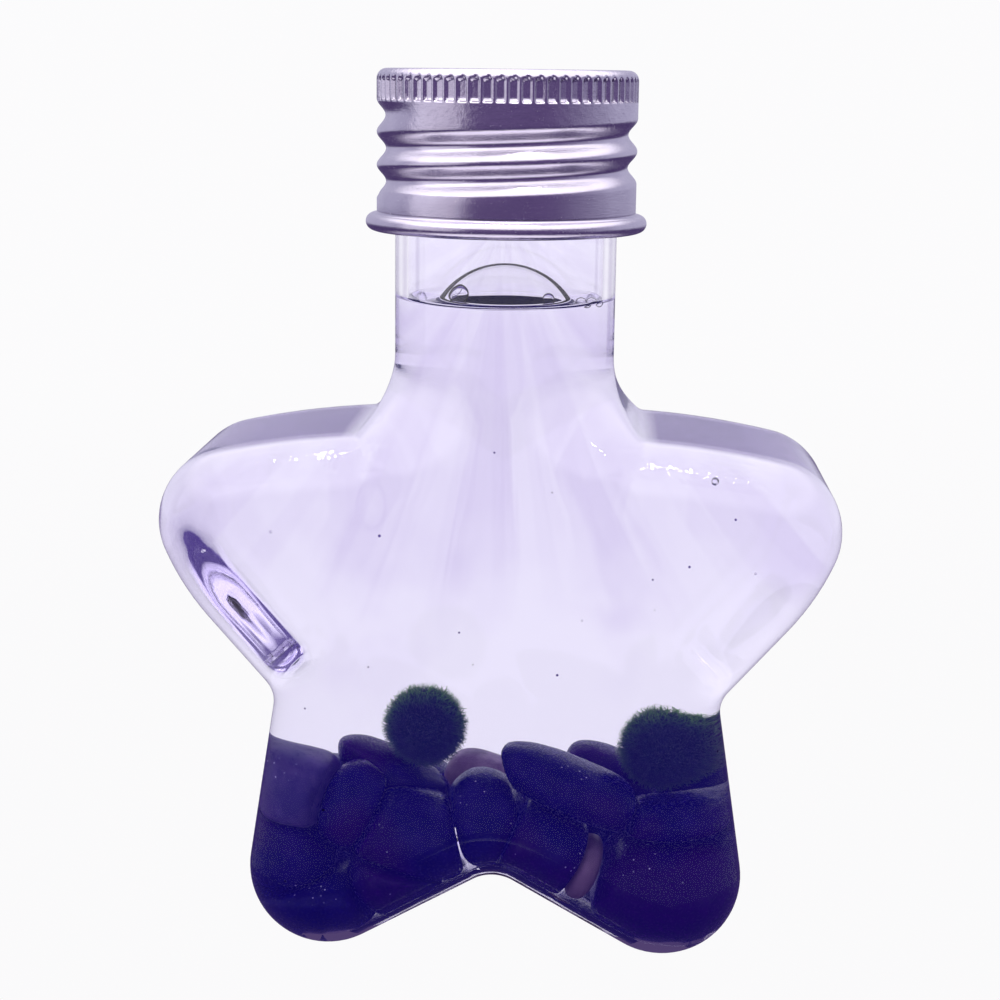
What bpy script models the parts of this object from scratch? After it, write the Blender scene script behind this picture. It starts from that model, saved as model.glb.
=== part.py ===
"""Marimo moss balls in a star-shaped glass bottle with a screw cap.

The bottle is blown in the shape of a five-pointed star.  Its top point is the round neck, which takes
an aluminium screw cap with a liner.  Water fills the bottle to the neck, dark tumbled pebbles fill both
feet, and two balls of moss lie on them.  Metres, +Z up, the bottle's flat front towards -Y, the origin
on the table under the middle of the bottle.
"""
import bpy
import bmesh
import numpy as np

MM = 0.001

# Outline of the right half, walked from the top of the arch between the feet round to the neck.
FOOT_SLOPE = 29.5      # degrees by which the arch falls towards the foot
ARCH_R = 3.85          # rounding of the top of the arch
ARCH_RUN = 14.25       # straight run from the arch to the foot
FOOT_R = 8.8           # rounding of the foot
FOOT_SIDE = 99.0       # heading of the foot's outer side
SIDE_RUN = 17.7        # straight outer side of the foot
WAIST_R = 3.5          # rounding of the waist under the arm
ARM_RISE = 49.0        # heading of the underside of the arm
ARM_RUN = 9.3          # straight part of the arm's underside
ARM_BELLY_R = 27.9     # swelling outer part of the arm's underside
TIP_START = 67.3       # heading where the tip's rounding begins
TIP_R = 8.0            # rounding of the arm's tip
TIP_END = 167.4        # heading where the shoulder begins
SHOULDER_END = 176.6   # heading of the shoulder at the neck
ARMPIT_R = 1.2         # crease between shoulder and neck
FLARE_START = 134.3    # heading where the flare of the neck begins
FLARE_R = 10.1         # flare at the foot of the neck
NECK_R = 12.05         # outer radius of the neck
FOOT_FLAT = 0.35       # depth ground off under each foot
HUB = (0.0, 40.0)      # middle of the star, where the spine's limbs meet

# Section across the glass.
DEPTH = 16.5           # half the bottle's depth
EDGE_R = 7.5           # rounding of the edge between side and face
WALL = 1.4             # thickness of the glass
BASE_EXTRA = 0.9       # how much thicker the glass is over the arch and under the feet
BASE_END = 60.0        # heading round the foot at which that has worn off
GAP = 0.3              # free gap between touching pieces

# Neck finish and cap.
RIM_Z = 93.6           # top of the glass rim
PITCH = 3.5            # rise of the screw thread in one turn
THREAD_Z = 83.9        # height at which the glass thread starts
THREAD_TURNS = 1.25    # turns of the glass thread
THREAD_DEPTH = 1.15    # height of the glass thread above the neck
THREAD_WIDTH = 1.9     # width of the glass thread at its root
THREAD_FADE = 0.12     # turns over which the glass thread runs in and out
RIM_ROUND = 0.45       # rounding of the glass rim
CAP_TOP = 95.9         # top of the cap
CAP_R = 14.05          # outer radius of the cap's skirt
CAP_SHEET = 0.4        # thickness of the cap's sheet
CAP_EDGE = 1.0         # rounding of the cap's top edge
CAP_BAND_Z = 92.6      # lower edge of the band round the cap's top
CAP_NECKING = 0.25     # how far the cap draws in under that band
CAP_GROOVE = 1.0       # depth of the rolled thread
CAP_THREAD_LOW = 84.0  # lower end of the rolled thread
CAP_THREAD_HIGH = 91.4 # upper end of the rolled thread
CAP_THREAD_FADE = 0.9  # height over which the rolled thread dies away
BEAD_R = 0.9           # radius of the rolled bead at the lower edge
BEAD_OUT = 0.3         # how far the bead's middle stands out from the skirt
BEAD_Z = 79.7          # height of the bead's middle
LINER_LOW = 93.95      # underside of the liner, just over the rim
LINER_HIGH = 95.15     # top of the liner
LINER_R = 13.1         # radius of the liner
LINER_EDGE = 0.1       # bevel round the liner's edges

# Contents.  A moss ball is its centre and its radius.
WATER_TOP = 70.9       # height of the water in the neck
WATER_BED = 24.9       # height above the pebbles down to which the water is one clear body
MOSS_CLEAR = 0.4       # clearance of the water round a moss ball
MOSS_LEVEL = 3         # subdivisions of a moss ball
MOSS = {
    "moss_ball_left": ((-7.8, -6.0, 24.95), 4.9),
    "moss_ball_right": ((18.1, -4.0, 22.6), 5.0),
}

# Pebbles as laid by hand: centre, half length, half height and half depth in mm, tilt in degrees.
PEBBLES = {
    "pebble_left_square": ((-21.4, -7.5, 17.7), (5.4, 4.4, 6.8), -6),
    "pebble_left_long": ((-11.5, -4.2, 18.7), (7.3, 2.8, 4.6), -26),
    "pebble_left_small": ((-15.6, -9.6, 16.6), (5.2, 3.6, 3.8), 60),
    "pebble_left_outer": ((-21.9, -7.0, 10.9), (5.2, 5.0, 7.0), 80),
    "pebble_left_foot": ((-18.9, -6.5, 5.2), (7.2, 4.2, 7.6), -3),
    "pebble_left_middle": ((-9.6, -8.6, 13.6), (7.8, 5.0, 6.2), -12),
    "pebble_left_inner": ((-11.4, -7.5, 7.9), (5.6, 4.0, 6.6), -26),
    "pebble_pale": ((-1.7, 2.8, 16.4), (4.6, 3.3, 4.6), -18),
    "pebble_centre": ((-1.0, -7.6, 15.2), (5.2, 4.9, 5.6), -40),
    "pebble_right_long": ((8.7, -8.4, 19.0), (9.4, 3.1, 5.0), -22),
    "pebble_right_behind": ((13.2, 3.6, 17.4), (6.0, 2.7, 4.6), -24),
    "pebble_right_middle": ((5.4, -7.8, 12.2), (5.8, 5.0, 6.4), -38),
    "pebble_right_sliver": ((10.2, -7.4, 9.8), (3.3, 1.7, 4.8), 72),
    "pebble_right_flat": ((19.2, -7.4, 15.7), (6.2, 2.3, 6.6), 2),
    "pebble_right_foot": ((18.6, -6.8, 7.7), (8.2, 6.8, 7.6), 4),
    "pebble_back_left_top": ((-20.4, 7.2, 13.8), (5.2, 3.7, 6.4), 2),
    "pebble_back_left_foot": ((-19.4, 7.2, 7.0), (6.8, 5.4, 7.0), -6),
    "pebble_back_left_middle": ((-10.4, 6.6, 9.4), (4.8, 4.6, 6.4), -20),
    "pebble_back_left_upper": ((-9.8, 8.0, 14.8), (5.0, 3.0, 5.2), -12),
    "pebble_back_centre": ((-1.4, 7.6, 12.6), (6.2, 2.9, 6.0), 4),
    "pebble_back_right_middle": ((8.0, 6.8, 12.0), (4.8, 4.4, 6.2), 12),
    "pebble_back_right_foot": ((17.8, 7.2, 7.6), (7.2, 6.0, 7.0), 5),
    "pebble_back_right_top": ((19.8, 7.2, 15.6), (4.8, 3.2, 6.0), -6),
}
PALE_PEBBLES = ("pebble_pale", "pebble_right_sliver")
OVAL_POWER = 2.5       # fullness of a pebble's oval
CROWD_POWER = 8.0      # how tightly a pebble's edges are rounded where two limits meet
CROWD_REACH = 26.0     # neighbours farther away than this don't press on a pebble
CONTACT = 0.4          # free space between two pebbles, or a pebble and a moss ball
STONE_REACH = 16.0     # more than any pebble reaches
HALVINGS = 14          # halvings in the search for the glass

# Fineness of the meshes.
EDGE_STEPS = 6         # steps round a quarter of the bottle's edge
WATER_STEPS = 3        # the same for the water
THREAD_ROW = 0.65      # spacing of the rows over the glass thread
CAP_ROW = 0.7          # spacing of the rows over the rolled thread
SIDES = 28             # sides of the cap and the liner
RINGS = 6              # bands of a pebble from pole to pole
AROUND = 8             # sides of a pebble

for old in list(bpy.data.objects):
    bpy.data.objects.remove(old, do_unlink=True)


def material(name, colour, roughness, metallic=0.0, transmission=0.0, ior=1.5):
    """A Principled material of one plain finish."""
    mat = bpy.data.materials.new(name)
    mat.use_nodes = True
    shader = mat.node_tree.nodes["Principled BSDF"]
    shader.inputs["Base Color"].default_value = (*colour, 1.0)
    shader.inputs["Roughness"].default_value = roughness
    shader.inputs["Metallic"].default_value = metallic
    shader.inputs["Transmission Weight"].default_value = transmission
    shader.inputs["IOR"].default_value = ior
    mat.diffuse_color = (*colour, 1.0)
    return mat


def add(name, verts, faces, mat, smooth=True):
    """One closed object from points in mm; points that coincide are joined and the skin faces out."""
    mesh = bpy.data.meshes.new(name)
    mesh.from_pydata([tuple(v) for v in np.asarray(verts) * MM], [], faces)
    work = bmesh.new()
    work.from_mesh(mesh)
    bmesh.ops.remove_doubles(work, verts=work.verts, dist=1e-6)
    bmesh.ops.dissolve_degenerate(work, edges=work.edges, dist=1e-7)
    bmesh.ops.recalc_face_normals(work, faces=work.faces)
    if work.calc_volume(signed=True) < 0:
        bmesh.ops.reverse_faces(work, faces=work.faces)
    work.to_mesh(mesh)
    work.free()
    for face in mesh.polygons:
        face.use_smooth = smooth
    mesh.materials.append(mat)
    obj = bpy.data.objects.new(name, mesh)
    bpy.context.scene.collection.objects.link(obj)
    return obj


def grid_faces(rows, cols, start=0, wrap=False):
    """Triangles of a grid of points laid row by row, every quad split along the same diagonal."""
    faces = []
    for r in range(rows - 1):
        for c in range(cols if wrap else cols - 1):
            d = (c + 1) % cols
            a, b = start + r * cols + c, start + r * cols + d
            faces += [(a, b, b + cols), (a, b + cols, a + cols)]
    return faces


def outline(shoulder_r, lift):
    """Points, headings, part names and spine points of the right half, raised by lift.

    Straight runs and arcs follow each other tangentially.  Every outline point is tied to a point of
    the spine, which runs from the hub out to the foot and the arm and up the neck, so that the flat
    faces can be woven between the two.
    """
    hub = np.array(HUB)
    pos = np.array([0.0, lift])
    head = 0.0
    points, heads, parts = [pos], [head], ["arch"]

    def arc(radius, stops, part):
        nonlocal pos, head
        turn = 1.0 if stops[-1] > head else -1.0
        origin, first = pos, np.radians(head)
        for stop in stops:
            a = np.radians(stop)
            pos = origin + turn * radius * np.array([np.sin(a) - np.sin(first), np.cos(first) - np.cos(a)])
            points.append(pos)
            heads.append(stop)
            parts.append(part)
        head = stops[-1]

    def run(length, part):
        nonlocal pos
        pos = pos + length * np.array([np.cos(np.radians(head)), np.sin(np.radians(head))])
        points.append(pos)
        heads.append(head)
        parts.append(part)

    flat = np.degrees(np.arccos(1.0 - FOOT_FLAT / FOOT_R))
    arc(ARCH_R, [-0.5 * FOOT_SLOPE, -FOOT_SLOPE], "arch")
    run(ARCH_RUN, "foot out")
    arc(FOOT_R, [-flat, 0.0, flat, 37.0, 58.0, 79.0, FOOT_SIDE], "foot")
    run(SIDE_RUN, "foot back")
    arc(WAIST_R, [0.5 * (FOOT_SIDE + ARM_RISE), ARM_RISE], "waist")
    run(ARM_RUN, "arm out")
    arc(ARM_BELLY_R, [0.5 * (ARM_RISE + TIP_START), TIP_START], "arm out")
    arc(TIP_R, list(np.linspace(TIP_START, TIP_END, 6)[1:]), "tip")
    arc(shoulder_r, list(np.linspace(TIP_END, SHOULDER_END, 4)[1:]), "arm back")
    arc(ARMPIT_R, [FLARE_START], "flare")
    arc(FLARE_R, list(np.linspace(FLARE_START, 90.0, 5)[1:]), "flare")

    points = np.array(points)
    parts = np.array(parts)
    spine = np.zeros_like(points)
    for name, end, radius in (("foot", "foot", FOOT_R), ("arm", "tip", TIP_R)):
        tip = np.flatnonzero(parts == end)[0]
        normal = np.radians(heads[tip] + 90.0)
        centre = points[tip] + radius * np.array([np.cos(normal), np.sin(normal)])
        spine[parts == end] = centre
        out = np.flatnonzero(parts == name + " out")
        step = (np.arange(len(out)) + 1.0)[:, None] / len(out)
        spine[out] = hub + step * (centre - hub)
        spine[np.flatnonzero(parts == name + " back")] = hub + (1.0 - step) * (centre - hub)
    spine[(parts == "arch") | (parts == "waist")] = hub
    up = np.flatnonzero(parts == "flare")
    spine[up, 0] = hub[0]
    spine[up, 1] = hub[1] + (points[-1][1] - hub[1]) * (np.arange(len(up)) + 1.0) / len(up)
    return points, np.array(heads), parts, spine


# The shoulder's radius is what brings the walk to the neck's radius, and the walk is then set down so
# that the feet stand on the table with their flats.
short_of_neck = NECK_R - outline(0.0, 0.0)[0][-1][0]
SHOULDER_R = short_of_neck / (np.sin(np.radians(SHOULDER_END)) - np.sin(np.radians(TIP_END)))
LIFT = -FOOT_FLAT - outline(SHOULDER_R, 0.0)[0][:, 1].min()
OUT_P, OUT_H, OUT_PART, SPINE = outline(SHOULDER_R, LIFT)
NORMAL = np.stack([np.cos(np.radians(OUT_H + 90.0)), np.sin(np.radians(OUT_H + 90.0))], axis=1)
FLARE_TOP = OUT_P[-1][1]

# 1 where the glass is thick at the base, 0 from the feet's sides upwards.
BASE = np.where(OUT_PART == "foot", np.clip(1.0 - OUT_H / BASE_END, 0.0, 1.0),
                np.isin(OUT_PART, ("arch", "foot out")))


def neck_share():
    """0 on the star's body and 1 on the round neck, easing from the armpit up the flare."""
    length = np.concatenate([[0.0], np.cumsum(np.linalg.norm(np.diff(OUT_P, axis=0), axis=1))])
    first = length[np.flatnonzero(OUT_PART == "flare")[0] - 1]
    k = np.clip((length - first) / (length[-1] - first), 0.0, 1.0)
    return k * k * (3.0 - 2.0 * k)


SHARE = neck_share()


def shell(wall, steps, ground):
    """Grid of the right front quarter of the bottle's skin, set in by wall.

    Each row starts on the side's middle line, runs along the straight side, round the edge by a quarter
    circle and over the face to the spine.  Towards the neck the side and the face shrink to nothing and
    the quarter circle becomes a quarter of the round neck.
    """
    edge = EDGE_R + (NECK_R - EDGE_R) * SHARE
    side = (DEPTH - EDGE_R) * (1.0 - SHARE)
    inner = edge - wall
    turn = np.radians(np.linspace(0.0, 90.0, steps + 1))
    inset = edge[:, None] - inner[:, None] * np.cos(turn)[None, :]
    if wall > 0.0:
        inset += BASE_EXTRA * BASE[:, None] * np.cos(turn)[None, :]
    flat_xz = OUT_P[:, None, :] + NORMAL[:, None, :] * inset[:, :, None]
    depth = side[:, None] + inner[:, None] * np.sin(turn)[None, :]
    grid = np.zeros((len(OUT_P), steps + 3, 3))
    grid[:, 1:-1, 0] = flat_xz[:, :, 0]
    grid[:, 1:-1, 2] = flat_xz[:, :, 1]
    grid[:, 1:-1, 1] = -depth
    grid[:, 0, 0] = flat_xz[:, 0, 0]
    grid[:, 0, 2] = flat_xz[:, 0, 1]
    grid[:, -1, 0] = SPINE[:, 0]
    grid[:, -1, 2] = SPINE[:, 1]
    grid[:, -1, 1] = -np.where(OUT_PART == "flare", side + inner, DEPTH - wall)
    grid[np.abs(grid[:, :, 0]) < 1e-6, 0] = 0.0
    if ground:
        grid[:, :, 2] = np.maximum(grid[:, :, 2], 0.0)
    return grid


def neck_rows(radius, heights, steps):
    """Rows of a quarter of the round neck at the given heights."""
    turn = np.radians(np.linspace(0.0, 90.0, steps + 1))
    rows = np.zeros((len(heights), steps + 3, 3))
    rows[:, 1:-1, 0] = radius * np.cos(turn)
    rows[:, 1:-1, 1] = -radius * np.sin(turn)
    rows[:, 0] = rows[:, 1]
    rows[:, -1] = rows[:, -2]
    rows[np.abs(rows[:, :, 0]) < 1e-6, 0] = 0.0
    rows[:, :, 2] = np.asarray(heights)[:, None]
    return rows


def four_quarters(grid):
    """Points and faces of a quarter grid with its three mirror images."""
    rows, cols = grid.shape[:2]
    verts, faces = [], []
    for sx in (1.0, -1.0):
        for sy in (1.0, -1.0):
            faces += grid_faces(rows, cols, len(verts) * rows * cols)
            verts.append((grid * np.array([sx, sy, 1.0])).reshape(-1, 3))
    return np.concatenate(verts), faces


def thread(angle, height, low, turns, width):
    """1 along the crest of a right-hand screw ridge and 0 beside it, with run-in and run-out."""
    phase = np.mod(angle, 2.0 * np.pi) / (2.0 * np.pi)
    best = np.zeros(np.shape(height))
    for lap in range(-1, int(np.ceil(turns)) + 1):
        along = phase + lap
        off = (height - (low + PITCH * along)) / (0.5 * width)
        ridge = np.where(np.abs(off) < 1.0, np.cos(0.5 * np.pi * off) ** 2, 0.0)
        ends = np.clip(np.minimum(along, turns - along) / THREAD_FADE, 0.0, 1.0)
        best = np.maximum(best, ridge * ends)
    return best


def make_bottle():
    """The bottle: the outer skin up over the thread and the rim, then the inner skin back down."""
    thread_top = THREAD_Z + PITCH * THREAD_TURNS
    heights = [FLARE_TOP + 5.0, THREAD_Z - 6.0]
    margin = 0.5 * THREAD_WIDTH
    heights += list(np.arange(THREAD_Z - margin, thread_top + margin + THREAD_ROW, THREAD_ROW))
    heights += [RIM_Z - 2.0, RIM_Z - RIM_ROUND]
    inner_r = NECK_R - WALL
    verts, faces = four_quarters(np.concatenate([
        shell(0.0, EDGE_STEPS, True),
        neck_rows(NECK_R, heights, EDGE_STEPS),
        neck_rows(NECK_R - RIM_ROUND, [RIM_Z], EDGE_STEPS),
        neck_rows(inner_r + RIM_ROUND, [RIM_Z], EDGE_STEPS),
        neck_rows(inner_r, [RIM_Z - RIM_ROUND, THREAD_Z - 6.0], EDGE_STEPS),
        shell(WALL, EDGE_STEPS, False)[::-1],
    ]))
    radius = np.hypot(verts[:, 0], verts[:, 1])
    finish = (verts[:, 2] > FLARE_TOP + 1.0) & (verts[:, 2] < RIM_Z - 1.0)
    on_finish = finish & (np.abs(radius - NECK_R) < 0.01)
    angle = np.arctan2(verts[:, 1], verts[:, 0])
    ridge = thread(angle, verts[:, 2], THREAD_Z, THREAD_TURNS, THREAD_WIDTH)
    verts[:, :2] *= np.where(on_finish, 1.0 + THREAD_DEPTH * ridge / NECK_R, 1.0)[:, None]
    glass = material("clear glass", (0.90, 0.88, 0.98), 0.02, 0.0, 1.0, 1.5)
    return add("bottle", verts, faces, glass)


def turned(profile, name, mat, groove=None):
    """A closed piece from a profile of (radius, height, rolled) turned about the bottle's axis.

    Rolled rows are pressed in by groove, a function of their angles and height.
    """
    angle = np.arange(SIDES) * 2.0 * np.pi / SIDES
    rows = []
    for r, z, rolled in profile:
        radii = r - groove(angle, z) if rolled else np.full(SIDES, r)
        rows.append(np.stack([radii * np.cos(angle), radii * np.sin(angle), np.full(SIDES, z)], axis=1))
    return add(name, np.concatenate(rows), grid_faces(len(rows), SIDES, 0, True), mat)


def rolled_thread(angle, height):
    """Depth of the cap's rolled thread, a wave that climbs one pitch a turn and dies away at both ends."""
    wave = 0.5 - 0.5 * np.cos(2.0 * np.pi * (height - THREAD_Z) / PITCH - angle)
    room = min(height - CAP_THREAD_LOW + 0.4, CAP_THREAD_HIGH + 0.6 - height)
    return CAP_GROOVE * np.clip(room / CAP_THREAD_FADE, 0.0, 1.0) * wave


def make_cap():
    """The cap: drawn sheet with a rounded top edge, a band, the rolled thread, a skirt and a bead."""
    inner_r, inner_top = CAP_R - CAP_SHEET, CAP_TOP - CAP_SHEET
    roof_r = CAP_R - CAP_EDGE
    thread_z = list(np.arange(CAP_THREAD_HIGH, CAP_THREAD_LOW - 0.3, -CAP_ROW))
    skirt_high, skirt_low = CAP_THREAD_LOW - 1.0, BEAD_Z + 1.2
    bend = np.radians([90.0, 45.0, 0.0])
    profile = [(0.0, CAP_TOP, False), (0.5 * CAP_R, CAP_TOP, False)]
    profile += [(roof_r + CAP_EDGE * np.cos(a), CAP_TOP - CAP_EDGE * (1.0 - np.sin(a)), False) for a in bend]
    profile += [(CAP_R, CAP_BAND_Z, False), (CAP_R - CAP_NECKING, CAP_BAND_Z - 0.3, False)]
    profile += [(CAP_R, z, True) for z in thread_z]
    profile += [(CAP_R, skirt_high, False), (CAP_R, skirt_low, False)]
    profile += [(CAP_R + BEAD_OUT + BEAD_R * np.cos(a), BEAD_Z + BEAD_R * np.sin(a), False)
                for a in np.radians([65.0, 15.0, -35.0, -85.0, -135.0])]
    profile += [(inner_r, BEAD_Z + 0.3, False), (inner_r, skirt_high, False)]
    profile += [(inner_r, z, True) for z in thread_z[::-1]]
    profile += [(inner_r - CAP_NECKING, CAP_BAND_Z - 0.3, False), (inner_r - 0.1, CAP_BAND_Z + 0.1, False)]
    profile += [(inner_r - 0.1, inner_top - 0.5, False), (inner_r - 0.4, inner_top, False)]
    profile += [(0.5 * CAP_R, inner_top, False), (0.0, inner_top, False)]
    aluminium = material("satin aluminium", (0.62, 0.60, 0.68), 0.32, 1.0)
    return turned(profile, "cap", aluminium, rolled_thread)


def make_liner():
    """The liner: a foam disc pressed into the top of the cap, which seals on the rim."""
    flat_r = LINER_R - LINER_EDGE
    profile = [(0.0, LINER_LOW, False), (flat_r, LINER_LOW, False), (LINER_R, LINER_LOW + LINER_EDGE, False)]
    profile += [(LINER_R, LINER_HIGH - LINER_EDGE, False), (flat_r, LINER_HIGH, False)]
    profile += [(0.0, LINER_HIGH, False)]
    return turned(profile, "liner", material("white foam", (0.88, 0.87, 0.86), 0.70))


def make_water():
    """The water: the inside of the glass less a gap, cut level above the pebbles and at the surface."""
    set_in = WALL + GAP
    column = shell(set_in, WATER_STEPS, False)
    top = neck_rows(NECK_R - set_in, [WATER_TOP], WATER_STEPS)
    lid = top * np.array([0.0, 0.0, 1.0])
    verts, faces = four_quarters(np.concatenate([lid, top, column[::-1]]))
    water = add("water", verts, faces, material("clear water", (0.92, 0.91, 0.99), 0.0, 0.0, 1.0, 1.33))
    work = bmesh.new()
    work.from_mesh(water.data)
    everything = work.verts[:] + work.edges[:] + work.faces[:]
    cut = bmesh.ops.bisect_plane(work, geom=everything, dist=1e-7, plane_co=(0.0, 0.0, WATER_BED * MM),
                                 plane_no=(0.0, 0.0, 1.0), clear_inner=True)
    open_edges = [item for item in cut["geom_cut"] if isinstance(item, bmesh.types.BMEdge)]
    bmesh.ops.contextual_create(work, geom=open_edges)
    bmesh.ops.recalc_face_normals(work, faces=work.faces)
    work.to_mesh(water.data)
    work.free()
    return water


def ball(name, centre, size, mat):
    """A round ball as a subdivided icosahedron."""
    work = bmesh.new()
    bmesh.ops.create_icosphere(work, subdivisions=MOSS_LEVEL, radius=size * MM)
    bmesh.ops.translate(work, verts=work.verts, vec=np.array(centre) * MM)
    mesh = bpy.data.meshes.new(name)
    work.to_mesh(mesh)
    work.free()
    for face in mesh.polygons:
        face.use_smooth = True
    mesh.materials.append(mat)
    obj = bpy.data.objects.new(name, mesh)
    bpy.context.scene.collection.objects.link(obj)
    return obj


def make_moss_balls(water):
    """The moss balls, each with a hollow in the water round it."""
    moss_green = material("dark moss", (0.035, 0.085, 0.040), 0.95)
    for name, (centre, size) in MOSS.items():
        ball(name, centre, size, moss_green)
        cutter = ball(name + "_hollow", centre, size + MOSS_CLEAR, moss_green)
        cutter.hide_render = True
        cutter.display_type = "WIRE"
        hollow = water.modifiers.new(name, "BOOLEAN")
        hollow.operation = "DIFFERENCE"
        hollow.solver = "EXACT"
        hollow.object = cutter


def wall_distance(points):
    """Depth of points under the bottle's outer skin, less than nothing outside the outline.

    What the glass is thicker by at the base is taken off.
    """
    start, way = FINE[:-1], np.diff(FINE, axis=0)
    rel = points[:, None, [0, 2]] - start[None]
    t = np.clip((rel * way).sum(axis=2) / (way * way).sum(axis=1), 0.0, 1.0)
    apart = np.linalg.norm(rel - t[:, :, None] * way, axis=2)
    nearest = apart.argmin(axis=1)
    rows = np.arange(len(points))
    ahead, to_point = way[nearest], rel[rows, nearest]
    left = np.sign(ahead[:, 0] * to_point[:, 1] - ahead[:, 1] * to_point[:, 0])
    qx = EDGE_R - left * apart[rows, nearest] + BASE_EXTRA * FINE_BASE[nearest]
    qy = np.abs(points[:, 1]) - (DEPTH - EDGE_R)
    outside = np.hypot(np.maximum(qx, 0.0), np.maximum(qy, 0.0))
    return EDGE_R - outside - np.minimum(np.maximum(qx, qy), 0.0)


# The whole outline as one line of points, left side included, for the pebbles to be measured against.
FINE = np.concatenate([(OUT_P * np.array([-1.0, 1.0]))[::-1], OUT_P[1:]])
FINE_BASE = np.concatenate([BASE[::-1], BASE[1:]])[:-1]


def tilted(tilt):
    """Rows are a pebble's own length, depth and height axes after its tilt about the depth."""
    t = np.radians(tilt)
    return np.array([[np.cos(t), 0.0, np.sin(t)], [0.0, 1.0, 0.0], [-np.sin(t), 0.0, np.cos(t)]])


def stone_reach(name, ways):
    """How far a pebble reaches from its centre in each direction.

    The pebble is a rounded oval held back by a plane towards every neighbour, by the moss balls and by
    the glass.  The limits are added with a high power, which rounds the edges where they meet.
    """
    centre, (a, b, c), tilt = PEBBLES[name]
    centre, own, half = np.array(centre), tilted(tilt), np.array([a, c, b])
    local = np.abs(ways @ own.T) / half
    total = (local ** OVAL_POWER).sum(axis=1) ** (CROWD_POWER / OVAL_POWER)
    for other, (far, (oa, ob, oc), other_tilt) in PEBBLES.items():
        line = np.array(far) - centre
        span = np.linalg.norm(line)
        if other != name and span < CROWD_REACH:
            line = line / span
            mine = np.linalg.norm(own @ line * half)
            theirs = np.linalg.norm(tilted(other_tilt) @ line * np.array([oa, oc, ob]))
            reach = span * mine / (mine + theirs) - 0.5 * CONTACT
            total += (np.maximum(ways @ line, 0.0) / reach) ** CROWD_POWER
    for far, size in MOSS.values():
        line = np.array(far) - centre
        span = np.linalg.norm(line)
        total += (np.maximum(ways @ (line / span), 0.0) / (span - size - CONTACT)) ** CROWD_POWER
    near, away = np.zeros(len(ways)), np.full(len(ways), STONE_REACH)
    for _ in range(HALVINGS):
        middle = 0.5 * (near + away)
        inside = wall_distance(centre + ways * middle[:, None]) > WALL + GAP + 0.5 * CONTACT
        near = np.where(inside, middle, near)
        away = np.where(inside, away, middle)
    return (total + near ** -CROWD_POWER) ** (-1.0 / CROWD_POWER)


def make_pebbles():
    """The pebbles: rings of points from pole to pole, each pushed out to where the stone ends."""
    dark_stone = material("dark stone", (0.035, 0.028, 0.055), 0.30)
    pale_stone = material("pale stone", (0.42, 0.33, 0.38), 0.35)
    polar = np.linspace(0.0, np.pi, RINGS + 1)
    turn = np.arange(AROUND) * 2.0 * np.pi / AROUND
    ball_ways = np.stack([np.cos(polar)[:, None] * np.ones(AROUND), np.sin(polar)[:, None] * np.cos(turn),
                          np.sin(polar)[:, None] * np.sin(turn)], axis=2).reshape(-1, 3)
    for name, (centre, _, tilt) in PEBBLES.items():
        ways = ball_ways @ tilted(tilt)
        verts = np.array(centre) + ways * stone_reach(name, ways)[:, None]
        look = pale_stone if name in PALE_PEBBLES else dark_stone
        add(name, verts, grid_faces(RINGS + 1, AROUND, 0, True), look)


make_bottle()
make_cap()
make_liner()
make_moss_balls(make_water())
make_pebbles()
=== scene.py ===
import bpy
import bmesh
import numpy as np
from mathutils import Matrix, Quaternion, Vector


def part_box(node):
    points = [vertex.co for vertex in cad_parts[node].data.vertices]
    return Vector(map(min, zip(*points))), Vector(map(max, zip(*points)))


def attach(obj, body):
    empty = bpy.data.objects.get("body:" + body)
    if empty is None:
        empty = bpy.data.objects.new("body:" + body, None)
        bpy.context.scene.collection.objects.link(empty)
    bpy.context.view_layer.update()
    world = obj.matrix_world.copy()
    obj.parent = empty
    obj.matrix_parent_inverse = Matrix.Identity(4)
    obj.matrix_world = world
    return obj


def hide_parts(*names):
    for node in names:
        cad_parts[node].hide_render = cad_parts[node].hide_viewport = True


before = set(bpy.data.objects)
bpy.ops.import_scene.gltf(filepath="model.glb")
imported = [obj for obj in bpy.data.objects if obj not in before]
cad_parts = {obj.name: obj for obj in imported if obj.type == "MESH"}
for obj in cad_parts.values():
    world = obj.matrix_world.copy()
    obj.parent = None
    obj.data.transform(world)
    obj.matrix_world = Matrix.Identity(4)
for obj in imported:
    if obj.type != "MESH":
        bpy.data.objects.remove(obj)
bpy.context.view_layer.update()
MM = 0.001


# The studio: a wide pale table, an even pale room and two soft lamps.  The camera stands close in front
# of the bottle and looks down on it a little, as a phone held by hand does.
SCENE = bpy.context.scene
SCENE.view_settings.view_transform = "Standard"
SCENE.cycles.max_bounces = 28
SCENE.cycles.transmission_bounces = 24
SCENE.cycles.transparent_max_bounces = 16
SCENE.cycles.glossy_bounces = 8
SCENE.cycles.diffuse_bounces = 3
SCENE.cycles.sample_clamp_indirect = 6.0

CAMERA_AT = (10.952, -214.72, 95.18)  # mm
CAMERA_WAY = (-0.051154, 0.976076, -0.211325)
CAMERA_ROLL = 0.69     # degrees
CAMERA_LENS = 70.6     # mm
SENSOR = 36.0          # mm

camera = bpy.data.objects.new("camera", bpy.data.cameras.new("camera"))
SCENE.collection.objects.link(camera)
SCENE.camera = camera
camera.data.lens = CAMERA_LENS
camera.data.sensor_width = SENSOR
camera.data.clip_start = 0.005
camera.data.clip_end = 20.0
camera.location = Vector(CAMERA_AT) * MM
aim = Vector(CAMERA_WAY).to_track_quat("-Z", "Y")
camera.rotation_mode = "QUATERNION"
camera.rotation_quaternion = aim @ Quaternion((0.0, 0.0, 1.0), np.radians(CAMERA_ROLL))


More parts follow.
